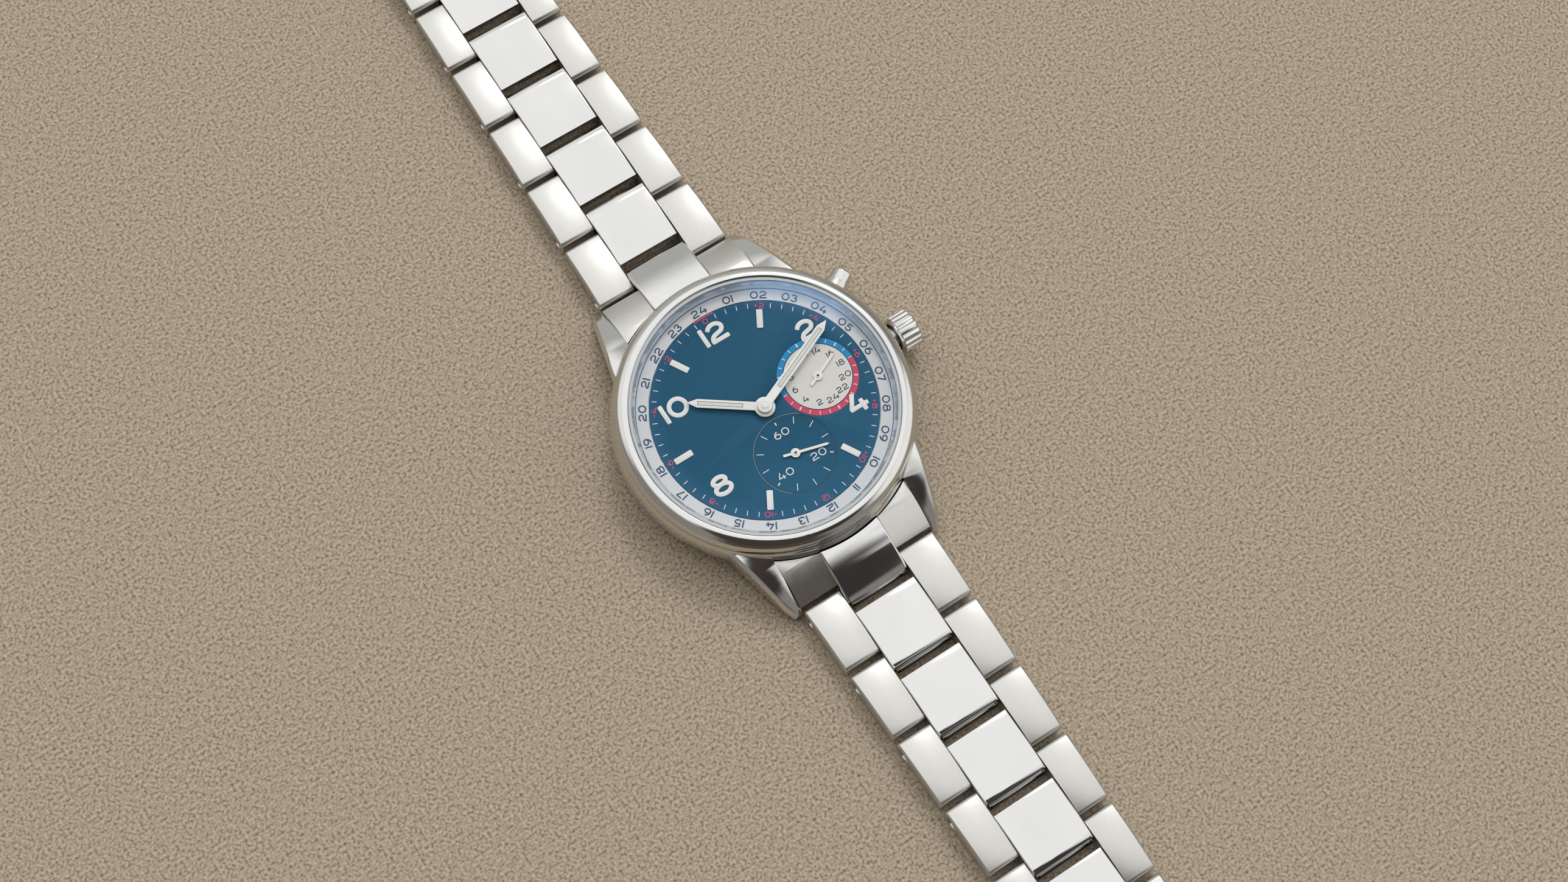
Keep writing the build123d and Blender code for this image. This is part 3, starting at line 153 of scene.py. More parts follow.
# %% A material under construction
class Finish:
    """A material with one Principled shader, and helpers that add nodes in front of it."""

    def __init__(self, name, **plain):
        self.material = bpy.data.materials.new(name)
        self.material.use_nodes = True
        self.tree = self.material.node_tree
        self.tree.nodes.clear()
        self.output = self.tree.nodes.new("ShaderNodeOutputMaterial")
        self.shader = self.tree.nodes.new("ShaderNodeBsdfPrincipled")
        self.tree.links.new(self.shader.outputs[0], self.output.inputs[0])
        for socket, value in plain.items():
            self.set(socket.replace("_", " "), value)

    def put(self, value, target):
        """Link a value to a socket, or write a plain number or colour into it."""
        if isinstance(value, Value):
            self.tree.links.new(value.socket, target)
        else:
            target.default_value = value

    def set(self, socket, value):
        """Give a socket of the shader a value."""
        self.put(value, self.shader.inputs[socket])

    def node(self, kind, settings=None, sockets=None, output=0):
        """Add a node with its settings and sockets, and return one of its outputs."""
        made = self.tree.nodes.new(kind)
        for key, value in (settings or {}).items():
            if key == "stops":
                ramp = made.color_ramp
                while len(ramp.elements) < len(value):
                    ramp.elements.new(1.0)
                for element, (place, colour) in zip(ramp.elements, value):
                    element.position = place
                    element.color = colour
            else:
                setattr(made, key, value)
        for key, value in (sockets or {}).items():
            self.put(value, made.inputs[key])
        return Value(self, made.outputs[output])

    def place(self, scale=(1, 1, 1), centre=(0, 0, 0), turn=0):
        """Object coordinates, centred on a point in metres, turned about Z and scaled."""
        raw = self.node("ShaderNodeTexCoord", output="Object")
        back = [-c for c in centre]
        moved = self.node("ShaderNodeMapping", {}, {"Vector": raw, "Location": back})
        sockets = {"Vector": moved, "Rotation": (0, 0, radians(turn)), "Scale": scale}
        return self.node("ShaderNodeMapping", {}, sockets)

    def noise(self, vector, detail=2.0):
        """Cloudy noise, with about one cloud to each unit of the coordinates."""
        sockets = {"Vector": vector, "Scale": 1.0, "Detail": detail}
        return self.node("ShaderNodeTexNoise", {}, sockets, "Fac")

    def mix(self, share, first, second):
        """Blend two colours by a share from 0 to 1."""
        settings = {"data_type": "RGBA"}
        return self.node("ShaderNodeMix", settings, {0: share, 6: first, 7: second}, 2)

    def bump(self, height, depth_mm):
        """Relief of this depth, fed to the shader's normal."""
        sockets = {"Height": height, "Distance": depth_mm * MM, "Strength": 1.0}
        self.set("Normal", self.node("ShaderNodeBump", {}, sockets))

    def radius(self, centre=(0, 0, 0)):
        """Distance from a vertical axis, in metres."""
        flat = self.place(scale=(1, 1, 0), centre=centre)
        return self.node("ShaderNodeVectorMath", {"operation": "LENGTH"}, {0: flat}, "Value")

    def parts(self, vector):
        """The X, Y and Z of a vector."""
        split = self.tree.nodes.new("ShaderNodeSeparateXYZ")
        self.put(vector, split.inputs[0])
        return [Value(self, output) for output in split.outputs]

    def angle(self):
        """Angle round the vertical axis of the watch, in radians."""
        x, y, _ = self.parts(self.place())
        return self.node("ShaderNodeMath", {"operation": "ARCTAN2"}, {0: y, 1: x})

    def span(self, value, start, end, settings=None):
        """A share that grows from 0 to 1 while the value goes from start to end."""
        sockets = {0: value, "From Min": start, "From Max": end}
        return self.node("ShaderNodeMapRange", settings, sockets)


# %% [markdown]
# ## Polished steel
#
# The bezel, lugs, crown, pusher and centre links are polished until they mirror the room. Real
# polished steel is never one even mirror: wiping leaves broad faint smears, and wear leaves hairlines.
# A slow noise changes the roughness a little, and a fine stretched noise gives shallow hairlines.


# %% Polished steel
def polished_steel():
    finish = Finish("polished_steel", Metallic=1.0)
    smears = finish.noise(finish.place(scale=(160, 90, 160)), detail=4.0)
    finish.set("Base Color", finish.mix(smears, (0.66, 0.655, 0.64, 1), (0.76, 0.755, 0.74, 1)))
    finish.set("Roughness", 0.045 + smears * 0.075)
    hairlines = finish.noise(finish.place(scale=(900, 14000, 6000), turn=12), detail=3.0)
    finish.bump(hairlines, 0.0008)
    return finish.material


# %% [markdown]
# ## Satin brushed steel
#
# The outer links and the sides of the end links are drawn along a belt, which leaves straight hair
# fine grooves along the bracelet. A noise stretched some sixty times along Y makes those grooves.
# They change the roughness as well as the relief, so the shine breaks up along the brushing.


# %% Satin steel for the bracelet
def satin_steel():
    finish = Finish("satin_steel", Metallic=1.0)
    grooves = finish.noise(finish.place(scale=(16000, 260, 16000)), detail=3.0)
    bands = finish.noise(finish.place(scale=(1400, 60, 1400)))
    finish.set("Base Color", finish.mix(grooves, (0.59, 0.58, 0.545, 1), (0.76, 0.75, 0.71, 1)))
    finish.set("Roughness", 0.24 + grooves * 0.12 + bands * 0.08)
    finish.bump(grooves * 0.7 + bands * 0.3, 0.004)
    return finish.material


# %% [markdown]
# ## Turned and sunray steel
#
# The case back and the rotor are brushed on a lathe. Grooves on the case back run in circles, so
# their noise changes fast along the radius and slowly round it. Grooves on the rotor run outwards, so
# theirs changes fast with the angle.


# %% Circular and radial brushing
def turned_steel(name, colour, light):
    finish = Finish(name, Metallic=1.0)
    sockets = {0: finish.radius() * 9000, 1: finish.angle() * 2}
    spread = finish.node("ShaderNodeCombineXYZ", {}, sockets)
    grooves = finish.noise(spread, detail=3.0)
    finish.set("Base Color", finish.mix(grooves, colour, light))
    finish.set("Roughness", 0.22 + grooves * 0.16)
    finish.bump(grooves, 0.003)
    return finish.material


def sunray_metal(name, colour, light):
    finish = Finish(name, Metallic=1.0)
    sockets = {0: finish.angle() * 90, 1: finish.radius() * 250}
    spread = finish.node("ShaderNodeCombineXYZ", {}, sockets)
    rays = finish.noise(spread, detail=3.0)
    finish.set("Base Color", finish.mix(rays, colour, light))
    finish.set("Roughness", 0.20 + rays * 0.18)
    finish.bump(rays, 0.003)
    return finish.material


# %% [markdown]
# ## Striped and pearled plates
#
# The large bridge carries broad polished stripes, each a shallow ramp of arcs cut by a wheel. A saw
# wave across the plate is the stripe, and its height tilts the surface so that light walks across it.
# The main plate is pearled: overlapping round spots, which a Voronoi pattern with rings stands for.


# %% Movement plates
STRIPE_WIDTH, STRIPE_TURN = 2.2, 32
SPOTS_PER_METRE, RINGS = 900.0, 30


def striped_plate():
    finish = Finish("striped_plate", Metallic=1.0)
    across, _, _ = finish.parts(finish.place(turn=STRIPE_TURN))
    saw = across.sum("FRACT", across / (STRIPE_WIDTH * MM))
    fine = finish.noise(finish.place(scale=(5000, 5000, 300), turn=STRIPE_TURN))
    finish.set("Base Color", finish.mix(saw, (0.66, 0.65, 0.62, 1), (0.80, 0.79, 0.76, 1)))
    finish.set("Roughness", 0.16 + fine * 0.14)
    finish.bump(saw + fine * 0.08, 0.05)
    return finish.material


def pearled_plate():
    finish = Finish("pearled_plate", Metallic=1.0)
    sockets = {"Vector": finish.place(), "Scale": SPOTS_PER_METRE}
    spots = finish.node("ShaderNodeTexVoronoi", {}, sockets)
    rings = spots.sum("SINE", spots * RINGS)
    finish.set("Base Color", finish.mix(spots, (0.74, 0.73, 0.70, 1), (0.60, 0.59, 0.56, 1)))
    finish.set("Roughness", 0.20 + spots * 0.15)
    finish.bump(rings, 0.004)
    return finish.material


# %% [markdown]
# ## Gilt wheels, blued screws and rubies
#
# Small parts of a movement are told apart by colour. Wheels are gilt, screws are heated until they
# turn blue, and the bearings are rubies. The steel of the stem is left plain. They are too small to
# show a direction of brushing, so one fine even grain serves all the metals.


# %% Small metals and stone
def grained_metal(name, colour, light, rough=0.22):
    finish = Finish(name, Metallic=1.0)
    grain = finish.noise(finish.place(scale=(4200, 4200, 4200)), detail=3.0)
    finish.set("Base Color", finish.mix(grain, colour, light))
    finish.set("Roughness", rough + grain * 0.12)
    finish.bump(grain, 0.002)
    return finish.material


def ruby():
    finish = Finish("ruby", Roughness=0.08, Coat_Weight=0.6)
    depth = finish.noise(finish.place(scale=(2500, 2500, 2500)), detail=1.0)
    finish.set("Base Color", finish.mix(depth, (0.42, 0.01, 0.05, 1), (0.70, 0.03, 0.12, 1)))
    return finish.material


# %% [markdown]
# ## The blue dial
#
# The dial is galvanised metal, a deep and nearly matt petrol blue with the faintest grain. Painted
# light makes the blue paler from 12 towards 6 o'clock, so its colour reads the distance from a point
# at
# 12. The small seconds are cut in fine circles, so the relief there reads the distance from their
#     centre.


# %% Dial blue
SECONDS_CENTRE, SECONDS_RADIUS, CIRCLE_PITCH = (0.0, -7.2), 5.3, 0.16
SHADED_POINT, LIGHT_REACH = (0, 17 * MM, 0), 32 * MM


def dial_blue():
    finish = Finish("dial_blue", Specular_IOR_Level=0.12)
    grain = finish.noise(finish.place(scale=(2500, 2500, 2500)), detail=4.0)
    cloud = finish.noise(finish.place(scale=(70, 70, 70)), detail=1.0)
    deep = finish.mix(cloud, (0.013, 0.078, 0.148, 1), (0.016, 0.088, 0.165, 1))
    # Painted light: the blue turns paler with distance from the shaded point at 12 o'clock.
    painted_light = finish.span(finish.radius(SHADED_POINT), 0, LIGHT_REACH)
    tone = finish.mix(painted_light, deep, (0.023, 0.120, 0.212, 1))
    finish.set("Base Color", finish.mix(grain * 0.5, tone, (0.021, 0.110, 0.200, 1)))
    finish.set("Roughness", 0.40 + grain * 0.10)
    distance = finish.radius((SECONDS_CENTRE[0] * MM, SECONDS_CENTRE[1] * MM, 0))
    inside = distance < SECONDS_RADIUS * MM
    circles = distance.sum("SINE", distance * (2 * pi / (CIRCLE_PITCH * MM)))
    finish.bump(circles * inside, 0.0002)
    return finish.material


# %% [markdown]
# ## Paint, ink and lume
#
# Everything read on the dial is paint of some kind. Printed ink lies flat and even. The hour figures,
# batons and hands are filled with a thick off-white compound whose surface is slightly grainy.


# %% Paints
PAINT_GRAIN = 0.12


def paint(name, colour, light, rough=0.5, depth_mm=0.0006):
    finish = Finish(name)
    grain = finish.noise(finish.place(scale=(1 / (PAINT_GRAIN * MM),) * 3))
    finish.set("Base Color", finish.mix(grain, colour, light))
    finish.set("Roughness", rough + grain * 0.12)
    finish.bump(grain, depth_mm)
    return finish.material


# %% [markdown]
# ## Crystal, rubber and plastic
#
# The crystal is a domed sapphire disc with an anti-reflective coat, so it hardly shows except as a
# bluish sheen near its edge. A surface that is nearly all see-through, with a weak blue gloss on its
# outside that grows at a slant and towards the rim, reads as such glass and leaves the dial bright.
# Seals and the ring that holds the movement are matt, with a fine grain.


# %% Clear sapphire
CRYSTAL_EDGE, GLEAM_START = 17.1, 12.5
SHEEN, RIM_SHEEN, GLASS_INDEX = 0.12, 1.8, 1.5


def sapphire():
    finish = Finish("sapphire", Base_Color=(0.27, 0.56, 1.0, 1), Metallic=1.0)
    clear = finish.tree.nodes.new("ShaderNodeBsdfTransparent")
    slant = finish.node("ShaderNodeFresnel", {}, {"IOR": GLASS_INDEX})
    inside = finish.node("ShaderNodeNewGeometry", output="Backfacing")
    dust = finish.noise(finish.place(scale=(300, 300, 300)), detail=4.0)
    finish.set("Roughness", 0.01 + dust * 0.03)
    smooth = {"interpolation_type": "SMOOTHSTEP"}
    rim = finish.span(finish.radius(), GLEAM_START * MM, CRYSTAL_EDGE * MM, smooth)
    glass = finish.tree.nodes.new("ShaderNodeMixShader")
    finish.put(slant * (1 - inside) * (SHEEN + rim * RIM_SHEEN), glass.inputs[0])
    finish.tree.links.new(clear.outputs[0], glass.inputs[1])
    finish.tree.links.new(finish.shader.outputs[0], glass.inputs[2])
    finish.tree.links.new(glass.outputs[0], finish.output.inputs[0])
    return finish.material


# %% Rubber and plastic
def soft_plastic(name, colour, light):
    finish = Finish(name)
    grain = finish.noise(finish.place(scale=(3000, 3000, 3000)), detail=3.0)
    finish.set("Base Color", finish.mix(grain, colour, light))
    finish.set("Roughness", 0.55 + grain * 0.15)
    finish.bump(grain, 0.006)
    return finish.material


# %% Make every finish once
polished = polished_steel()
satin = satin_steel()
turned = turned_steel("turned_steel", (0.60, 0.60, 0.585, 1), (0.76, 0.76, 0.745, 1))
rotor_finish = sunray_metal("sunray_rotor", (0.62, 0.61, 0.58, 1), (0.80, 0.79, 0.75, 1))
striped = striped_plate()
pearled = pearled_plate()
gilt = grained_metal("gilt_wheel", (0.72, 0.50, 0.20, 1), (0.86, 0.66, 0.32, 1))
stem_steel = grained_metal("turned_stem", (0.50, 0.50, 0.50, 1), (0.64, 0.64, 0.63, 1))
blued = grained_metal("blued_screw", (0.02, 0.05, 0.28, 1), (0.04, 0.10, 0.42, 1), rough=0.12)
ruby_stone = ruby()
blue = dial_blue()
lume = paint("lume_compound", (0.83, 0.825, 0.79, 1), (0.91, 0.905, 0.87, 1), depth_mm=0.006)
hand_paint = paint("hand_white", (0.84, 0.835, 0.81, 1), (0.92, 0.915, 0.89, 1), rough=0.35)
zone_white = paint("zone_white", (0.74, 0.735, 0.71, 1), (0.80, 0.795, 0.77, 1), rough=0.45)
warm_white = paint("warm_white", (0.74, 0.72, 0.665, 1), (0.78, 0.76, 0.705, 1), rough=0.4)
ink_white = paint("ink_white", (0.78, 0.79, 0.77, 1), (0.86, 0.87, 0.85, 1))
ink_navy = paint("ink_navy", (0.030, 0.045, 0.09, 1), (0.05, 0.07, 0.13, 1))
ink_red = paint("ink_red", (0.60, 0.045, 0.11, 1), (0.72, 0.07, 0.15, 1))
# The deep blue and the sky blue are painted shade and a painted highlight on the wall of the small
# seconds.
painted_shade_blue = paint("painted_shade_blue", (0.006, 0.035, 0.07, 1), (0.010, 0.045, 0.085, 1), rough=0.3)
painted_gleam_blue = paint("painted_gleam_blue", (0.12, 0.27, 0.38, 1), (0.16, 0.32, 0.43, 1), rough=0.3)
channel_shade = paint("channel_shade", (0.25, 0.235, 0.22, 1), (0.31, 0.29, 0.27, 1))
filling_paint = paint("filling", (0.70, 0.71, 0.66, 1), (0.78, 0.79, 0.73, 1), depth_mm=0.004)
ink_day = paint("ink_day", (0.0, 0.24, 0.55, 1), (0.0, 0.30, 0.64, 1))
clear_glass = sapphire()
rubber = soft_plastic("black_rubber", (0.015, 0.015, 0.015, 1), (0.03, 0.03, 0.03, 1))
flange_grey = grained_metal("flange_satin", (0.88, 0.89, 0.87, 1), (0.95, 0.96, 0.94, 1), rough=0.55)
pale_gasket = soft_plastic("pale_gasket", (0.58, 0.60, 0.60, 1), (0.66, 0.68, 0.68, 1))
holder = soft_plastic("holder_plastic", (0.10, 0.10, 0.11, 1), (0.15, 0.15, 0.16, 1))
print("finishes made:", len(bpy.data.materials))

# %% [markdown]
# ## Dressing the solids
#
# A solid from the frame arrives as loose triangles, which shade flat. A welded copy with smooth
# shading below a set angle shows its true curves, which matters most on mirror polish, and a narrow
# bevel gives each hard edge the thin bright line that real edges have. The copy then stands for the
# solid.


# %% Welded and smoothed copies
WELD, FLAT_WITHIN, SMOOTH_BELOW = 1e-6, 0.4, 32


def piece_body(node):
    """The body that holds this solid."""
    groups = frame["record"]["behaviour"]["bodies"]
    return next(body for body, members in groups.items() if node in members)


def dressed(node, finish, slot, rounding_mm):
    """Show a welded, smooth and lightly rounded copy of a solid in its place."""
    source = nodes[node]
    piece = bpy.data.objects.new("fine_" + node, source.data.copy())
    bpy.context.scene.collection.objects.link(piece)
    only(piece)
    bpy.ops.object.mode_set(mode="EDIT")
    bpy.ops.mesh.select_all(action="SELECT")
    bpy.ops.mesh.customdata_custom_splitnormals_clear()
    bpy.ops.mesh.remove_doubles(threshold=WELD)
    bpy.ops.mesh.dissolve_limited(angle_limit=radians(FLAT_WITHIN))
    bpy.ops.object.mode_set(mode="OBJECT")
    if rounding_mm:
        rounding = piece.modifiers.new("edge", "BEVEL")
        rounding.width = rounding_mm * MM
        rounding.segments = 2
        rounding.limit_method = "ANGLE"
        rounding.angle_limit = radians(SMOOTH_BELOW)
        apply_modifiers(piece)
    only(piece)
    bpy.ops.object.shade_smooth_by_angle(angle=radians(SMOOTH_BELOW))
    settle(piece, "fine_" + node, piece_body(node), finish, slot)
    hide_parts(node)


# %% [markdown]
# ## Which finish goes where
#
# The case wears polish all over, the bracelet alternates satin outer links with polished centres, and
# the parts that nobody sees with the watch closed keep a plainer finish.

# %% Dress the case, the bracelet and the movement
looks = {
    "case_middle": (polished, "polished_steel", 0.05),
    "bezel": (polished, "polished_steel", 0.04),
    "crown": (polished, "polished_steel", 0.03),
    "pusher_tube": (polished, "polished_steel", 0.04),
    "pusher_button": (polished, "polished_steel", 0),
    "corrector_button": (polished, "polished_steel", 0.04),
    "flange_ring": (flange_grey, "polished_steel", 0),
    "crown_tube": (stem_steel, "polished_steel", 0),
    "case_back": (turned, "satin_steel", 0.05),
    "spring_bars": (stem_steel, "satin_steel", 0),
    "end_link_12": (satin, "satin_steel", 0.05),
    "end_link_6": (satin, "satin_steel", 0.05),
    "clasp_cover": (satin, "satin_steel", 0.06),
    "clasp_blade_long": (satin, "satin_steel", 0.05),
    "clasp_blade_short": (satin, "satin_steel", 0.05),
    "case_back_glass": (clear_glass, "crystal_glass", 0),
    "crystal_gasket": (pale_gasket, "pale_plastic", 0),
    "crown_seal": (rubber, "black_rubber", 0),
    "movement_ring": (holder, "holder_plastic", 0),
    "main_plate": (pearled, "plated_brass", 0),
    "three_quarter_plate": (striped, "plated_brass", 0.04),
    "balance_cock": (grained_metal("cock_steel", (0.66, 0.65, 0.62, 1), (0.8, 0.79, 0.76, 1)),
                     "plated_brass", 0.03),
    "rotor": (rotor_finish, "rotor_brass", 0.04),
    "balance_wheel": (gilt, "wheel_brass", 0),
    "cannon_pinion": (gilt, "wheel_brass", 0),
    "minute_wheel": (gilt, "wheel_brass", 0),
    "hour_wheel": (gilt, "wheel_brass", 0),
    "winding_stem": (stem_steel, "stem_steel", 0),
    "dial": (blue, "dial_blue", 0.04),
    "city_ring": (zone_white, "ring_white", 0),
    "hour_markers": (lume, "lume_white", 0.04),
    "hour_hand": (hand_paint, "lume_white", 0.02),
    "minute_hand": (hand_paint, "lume_white", 0.02),
    "seconds_hand": (hand_paint, "lume_white", 0),
    "home_time_hand": (hand_paint, "lume_white", 0),
}
for run in ("12", "6"):
    for row in range(1, 7):
        looks[f"side_links_{run}_{row}"] = (satin, "satin_steel", 0.05)
        looks[f"centre_link_{run}_{row}"] = (polished, "polished_steel", 0.04)
for node, (finish, slot, rounding) in looks.items():
    dressed(node, finish, slot, rounding)
print("solids dressed:", len(looks), "of", len(nodes))

# %% [markdown]
# ## Turning the crystal
#
# The crystal is ground as a shallow dome outside and inside, and any unevenness of its mesh would show
# as a ripple in its reflection. So it is turned afresh, as on a lathe: one vertex is drawn along the
# profile of the dome, and the profile is spun round the axis in many even steps.


# %% A lathe
LATHE_CREASE = 30


def dome(rise_at_centre, rise_at_edge, edge_radius, steps=24):
    """Points of a spherical dome from its centre to its edge, in millimetres."""
    sagitta = rise_at_centre - rise_at_edge
    ball = (edge_radius ** 2 + sagitta ** 2) / (2 * sagitta)
    radii = [edge_radius * step / steps for step in range(steps + 1)]
    return [(r, rise_at_centre - ball + (ball ** 2 - r ** 2) ** 0.5) for r in radii]


def turned_piece(profile, steps=192):
    """Spin a profile of radii and heights in millimetres round the axis of the watch."""
    points = [Vector((r * MM, 0, z * MM)) for r, z in profile]
    bpy.ops.object.select_all(action="DESELECT")
    bpy.ops.mesh.primitive_circle_add(vertices=3, radius=MM, location=points[0])
    piece = bpy.context.active_object
    only(piece)
    bpy.ops.object.transform_apply(location=True, rotation=True, scale=True)
    bpy.ops.object.mode_set(mode="EDIT")
    bpy.ops.mesh.select_all(action="SELECT")
    bpy.ops.mesh.merge(type="CENTER")
    for before, after in zip(points, points[1:]):
        bpy.ops.mesh.extrude_vertices_move(TRANSFORM_OT_translate={"value": after - before})
    bpy.ops.mesh.select_all(action="SELECT")
    bpy.ops.mesh.spin(steps=steps, angle=2 * pi, center=(0, 0, 0), axis=(0, 0, 1))
    bpy.ops.mesh.select_all(action="SELECT")
    bpy.ops.mesh.remove_doubles(threshold=WELD)
    bpy.ops.mesh.normals_make_consistent(inside=False)
    bpy.ops.object.mode_set(mode="OBJECT")
    bpy.ops.object.shade_smooth_by_angle(angle=radians(LATHE_CREASE))
    return piece


# %% Turn the crystal
CRYSTAL_BEVEL, CRYSTAL_SEAT = 0.25, 0.5
CRYSTAL_TOP, CRYSTAL_SHOULDER, CRYSTAL_FOOT, CRYSTAL_CEILING = 9.9, 8.7, 7.8, 8.8
outside = dome(CRYSTAL_TOP, CRYSTAL_SHOULDER, CRYSTAL_EDGE - CRYSTAL_BEVEL)
edge = [(CRYSTAL_EDGE, CRYSTAL_SHOULDER - CRYSTAL_BEVEL), (CRYSTAL_EDGE, CRYSTAL_FOOT)]
inside = dome(CRYSTAL_CEILING, CRYSTAL_FOOT, CRYSTAL_EDGE - CRYSTAL_SEAT)[::-1]
crystal = turned_piece(outside + edge + inside)
settle(crystal, "fine_crystal", "case", clear_glass, "crystal_glass")
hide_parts("crystal")
print("crystal faces:", len(crystal.data.polygons))

# %% [markdown]
# ## Screws and rubies under the bridge
#
# Through the window in the back one sees the large bridge, held by screws that were heated until they
# turned blue, with the rubies in which the wheels run, each pressed into a gilt setting. All three are
# turned work. One of each is made on the axis, and its copies are set where the wheels would be.

# %% Profiles, as radii and drops below the bridge
BRIDGE = 2.95
SCREW_DROP, SLOT_LENGTH, SLOT_WIDTH, SLOT_DEPTH = 0.16, 1.6, 0.15, 0.07
SCREW = [(0, SCREW_DROP), (0.54, SCREW_DROP), (0.62, 0.10), (0.62, 0), (0, 0)]
RUBY = [(0, 0.02), (0.12, 0.02), (0.34, 0.07), (0.60, 0.09), (0.70, 0.06), (0.70, 0), (0, 0)]
SETTING = [(0.70, 0), (0.70, 0.10), (0.78, 0.13), (0.90, 0.13), (0.96, 0.08), (0.96, 0), (0.70, 0)]


def under_bridge(profile):
    """Turn a small part that stands down from the bridge."""
    return turned_piece([(r, BRIDGE - drop) for r, drop in profile], steps=32)


# %% Turn a screw, a ruby and its setting
screw, jewel, setting = under_bridge(SCREW), under_bridge(RUBY), under_bridge(SETTING)
bpy.ops.object.select_all(action="DESELECT")
slot_size = (SLOT_LENGTH, SLOT_WIDTH, 2 * SLOT_DEPTH)
slot_place = (0, 0, (BRIDGE - SCREW_DROP) * MM)
bpy.ops.mesh.primitive_cube_add(size=MM, location=slot_place, scale=slot_size)
driver_slot = bpy.context.active_object
cut = screw.modifiers.new("slot", "BOOLEAN")
cut.operation, cut.object = "DIFFERENCE", driver_slot
apply_modifiers(screw)
bpy.data.objects.remove(driver_slot)
print("faces of a screw, a ruby and a setting:",
      [len(piece.data.polygons) for piece in (screw, jewel, setting)])

# %% Set them in the bridge
TURN_STEP = 37


def set_in_bridge(piece, places, name, finish, slot):
    """Copy a small turned part to each place, turned a little further each time."""
    for number, (x, y) in enumerate(places, 1):
        copy = bpy.data.objects.new(name, piece.data.copy())
        turn = Matrix.Rotation(radians(TURN_STEP * number), 4, "Z")
        copy.data.transform(Matrix.Translation((x * MM, y * MM, 0)) @ turn)
        bpy.context.scene.collection.objects.link(copy)
        settle(copy, f"{name}_{number}", "case", finish, slot)
    bpy.data.objects.remove(piece)


screw_places = [(10.4, 3.0), (3.4, 10.3), (-6.6, 8.7), (-10.9, -0.8)]
jewel_places = [(5.4, 5.2), (-2.0, 7.6), (-7.4, 3.4), (6.8, -3.6)]
set_in_bridge(screw, screw_places, "bridge_screw", blued, "stem_steel")
set_in_bridge(jewel, jewel_places, "bridge_ruby", ruby_stone, "crystal_glass")
set_in_bridge(setting, jewel_places, "ruby_setting", gilt, "wheel_brass")
print("screws:", len(screw_places), "rubies:", len(jewel_places))

# %% [markdown]
# ## The tab of the end links
#
# Each end link is one piece with two finishes: satin cheeks and a polished tab in the middle. The
# faces between the two edges of the tab, and the barrel under it, get the second finish.

# %% Polish the tabs of the end links
TAB_HALF_WIDTH = 4.55
for run in ("12", "6"):
    link = bpy.data.objects["fine_end_link_" + run]
    link.data.materials.append(polished)
    tab = [face for face in link.data.polygons if abs(face.center.x) < TAB_HALF_WIDTH * MM]
    for face in tab:
        face.material_index = 1
    print("polished faces on the end link at", run, "o'clock:", len(tab))

# %% [markdown]
# ## A stroke alphabet for the figures
#
# The figures on such a dial are drawn with one even stroke, like a pen: a ring for the nought, a bar
# for the one. Drawing them as paths keeps that character at every size. Each figure is a list of
# strokes on a field one unit high, and a flat bar is swept along each stroke as a curve's bevel.


# %% Strokes of each figure
def arc(centre, radii, start, end, steps=16):
    """Points along part of an ellipse, angles in degrees."""
    turns = [radians(start + (end - start) * i / steps) for i in range(steps + 1)]
    return [(centre[0] + radii[0] * cos(t), centre[1] + radii[1] * sin(t)) for t in turns]


def loop(centre, radii):
    """Points round a whole ellipse."""
    return arc(centre, radii, 0, 360, 32)


FIGURES = {
    "0": (1.0, [loop((0.5, 0.5), (0.5, 0.5))]),
    "1": (0.0, [[(0, 0.03), (0, 0.97)]]),
    "2": (0.9, [arc((0.44, 0.69), (0.43, 0.31), 150, -52)
                + arc((0.36, 0.03), (0.36, 0.33), 102, 180), [(0.03, 0), (0.88, 0)]]),
    "3": (0.8, [arc((0.38, 0.76), (0.34, 0.24), 150, -80),
                arc((0.38, 0.26), (0.42, 0.26), 80, -150)]),
    "4": (1.0, [[(0.46, 1), (0.05, 0.34)], [(0.05, 0.27), (0.97, 0.27)],
                [(0.77, 0.5), (0.77, 0.02)]]),
    "5": (0.79, [[(0.18, 1), (0.72, 1)], [(0.13, 0.94), (0.09, 0.6)],
                 arc((0.38, 0.31), (0.41, 0.31), 128, -150)]),
    "6": (0.84, [loop((0.42, 0.33), (0.42, 0.33)), arc((0.64, 0.36), (0.64, 0.66), 178, 100)]),
    "7": (0.78, [[(0.03, 1), (0.73, 1)], [(0.74, 0.93), (0.26, 0.03)]]),
    "8": (0.94, [loop((0.47, 0.78), (0.39, 0.22)), loop((0.47, 0.28), (0.47, 0.28))]),
    "9": (0.84, [loop((0.42, 0.67), (0.42, 0.33)), arc((0.20, 0.64), (0.64, 0.66), -2, -80)]),
    "+": (0.5, [[(0.05, 0.5), (0.45, 0.5)], [(0.25, 0.3), (0.25, 0.7)]]),
    "-": (0.45, [[(0.05, 0.5), (0.4, 0.5)]]),
}
FIGURE_GAP = 0.39


# %% The pen and one stroke
SHOULDER, CREST = 0.7, 0.86
END_WIDTH, CORNER = 0.74, 0.2


def pen(width, thickness):
    """The flat bar that is swept along the strokes, as a closed curve across the path."""
    outline = bpy.data.curves.new("pen", "CURVE")
    line = outline.splines.new("POLY")
    w, t = width * MM / 2, thickness * MM
    side, top = t * SHOULDER, w * CREST
    corners = [(-w, 0), (-w, side), (-top, t), (top, t), (w, side), (w, 0)]
    line.points.add(len(corners) - 1)
    for point, (x, y) in zip(line.points, corners):
        point.co = (x, y, 0, 1)
    line.use_cyclic_u = True
    return bpy.data.objects.new("pen", outline)


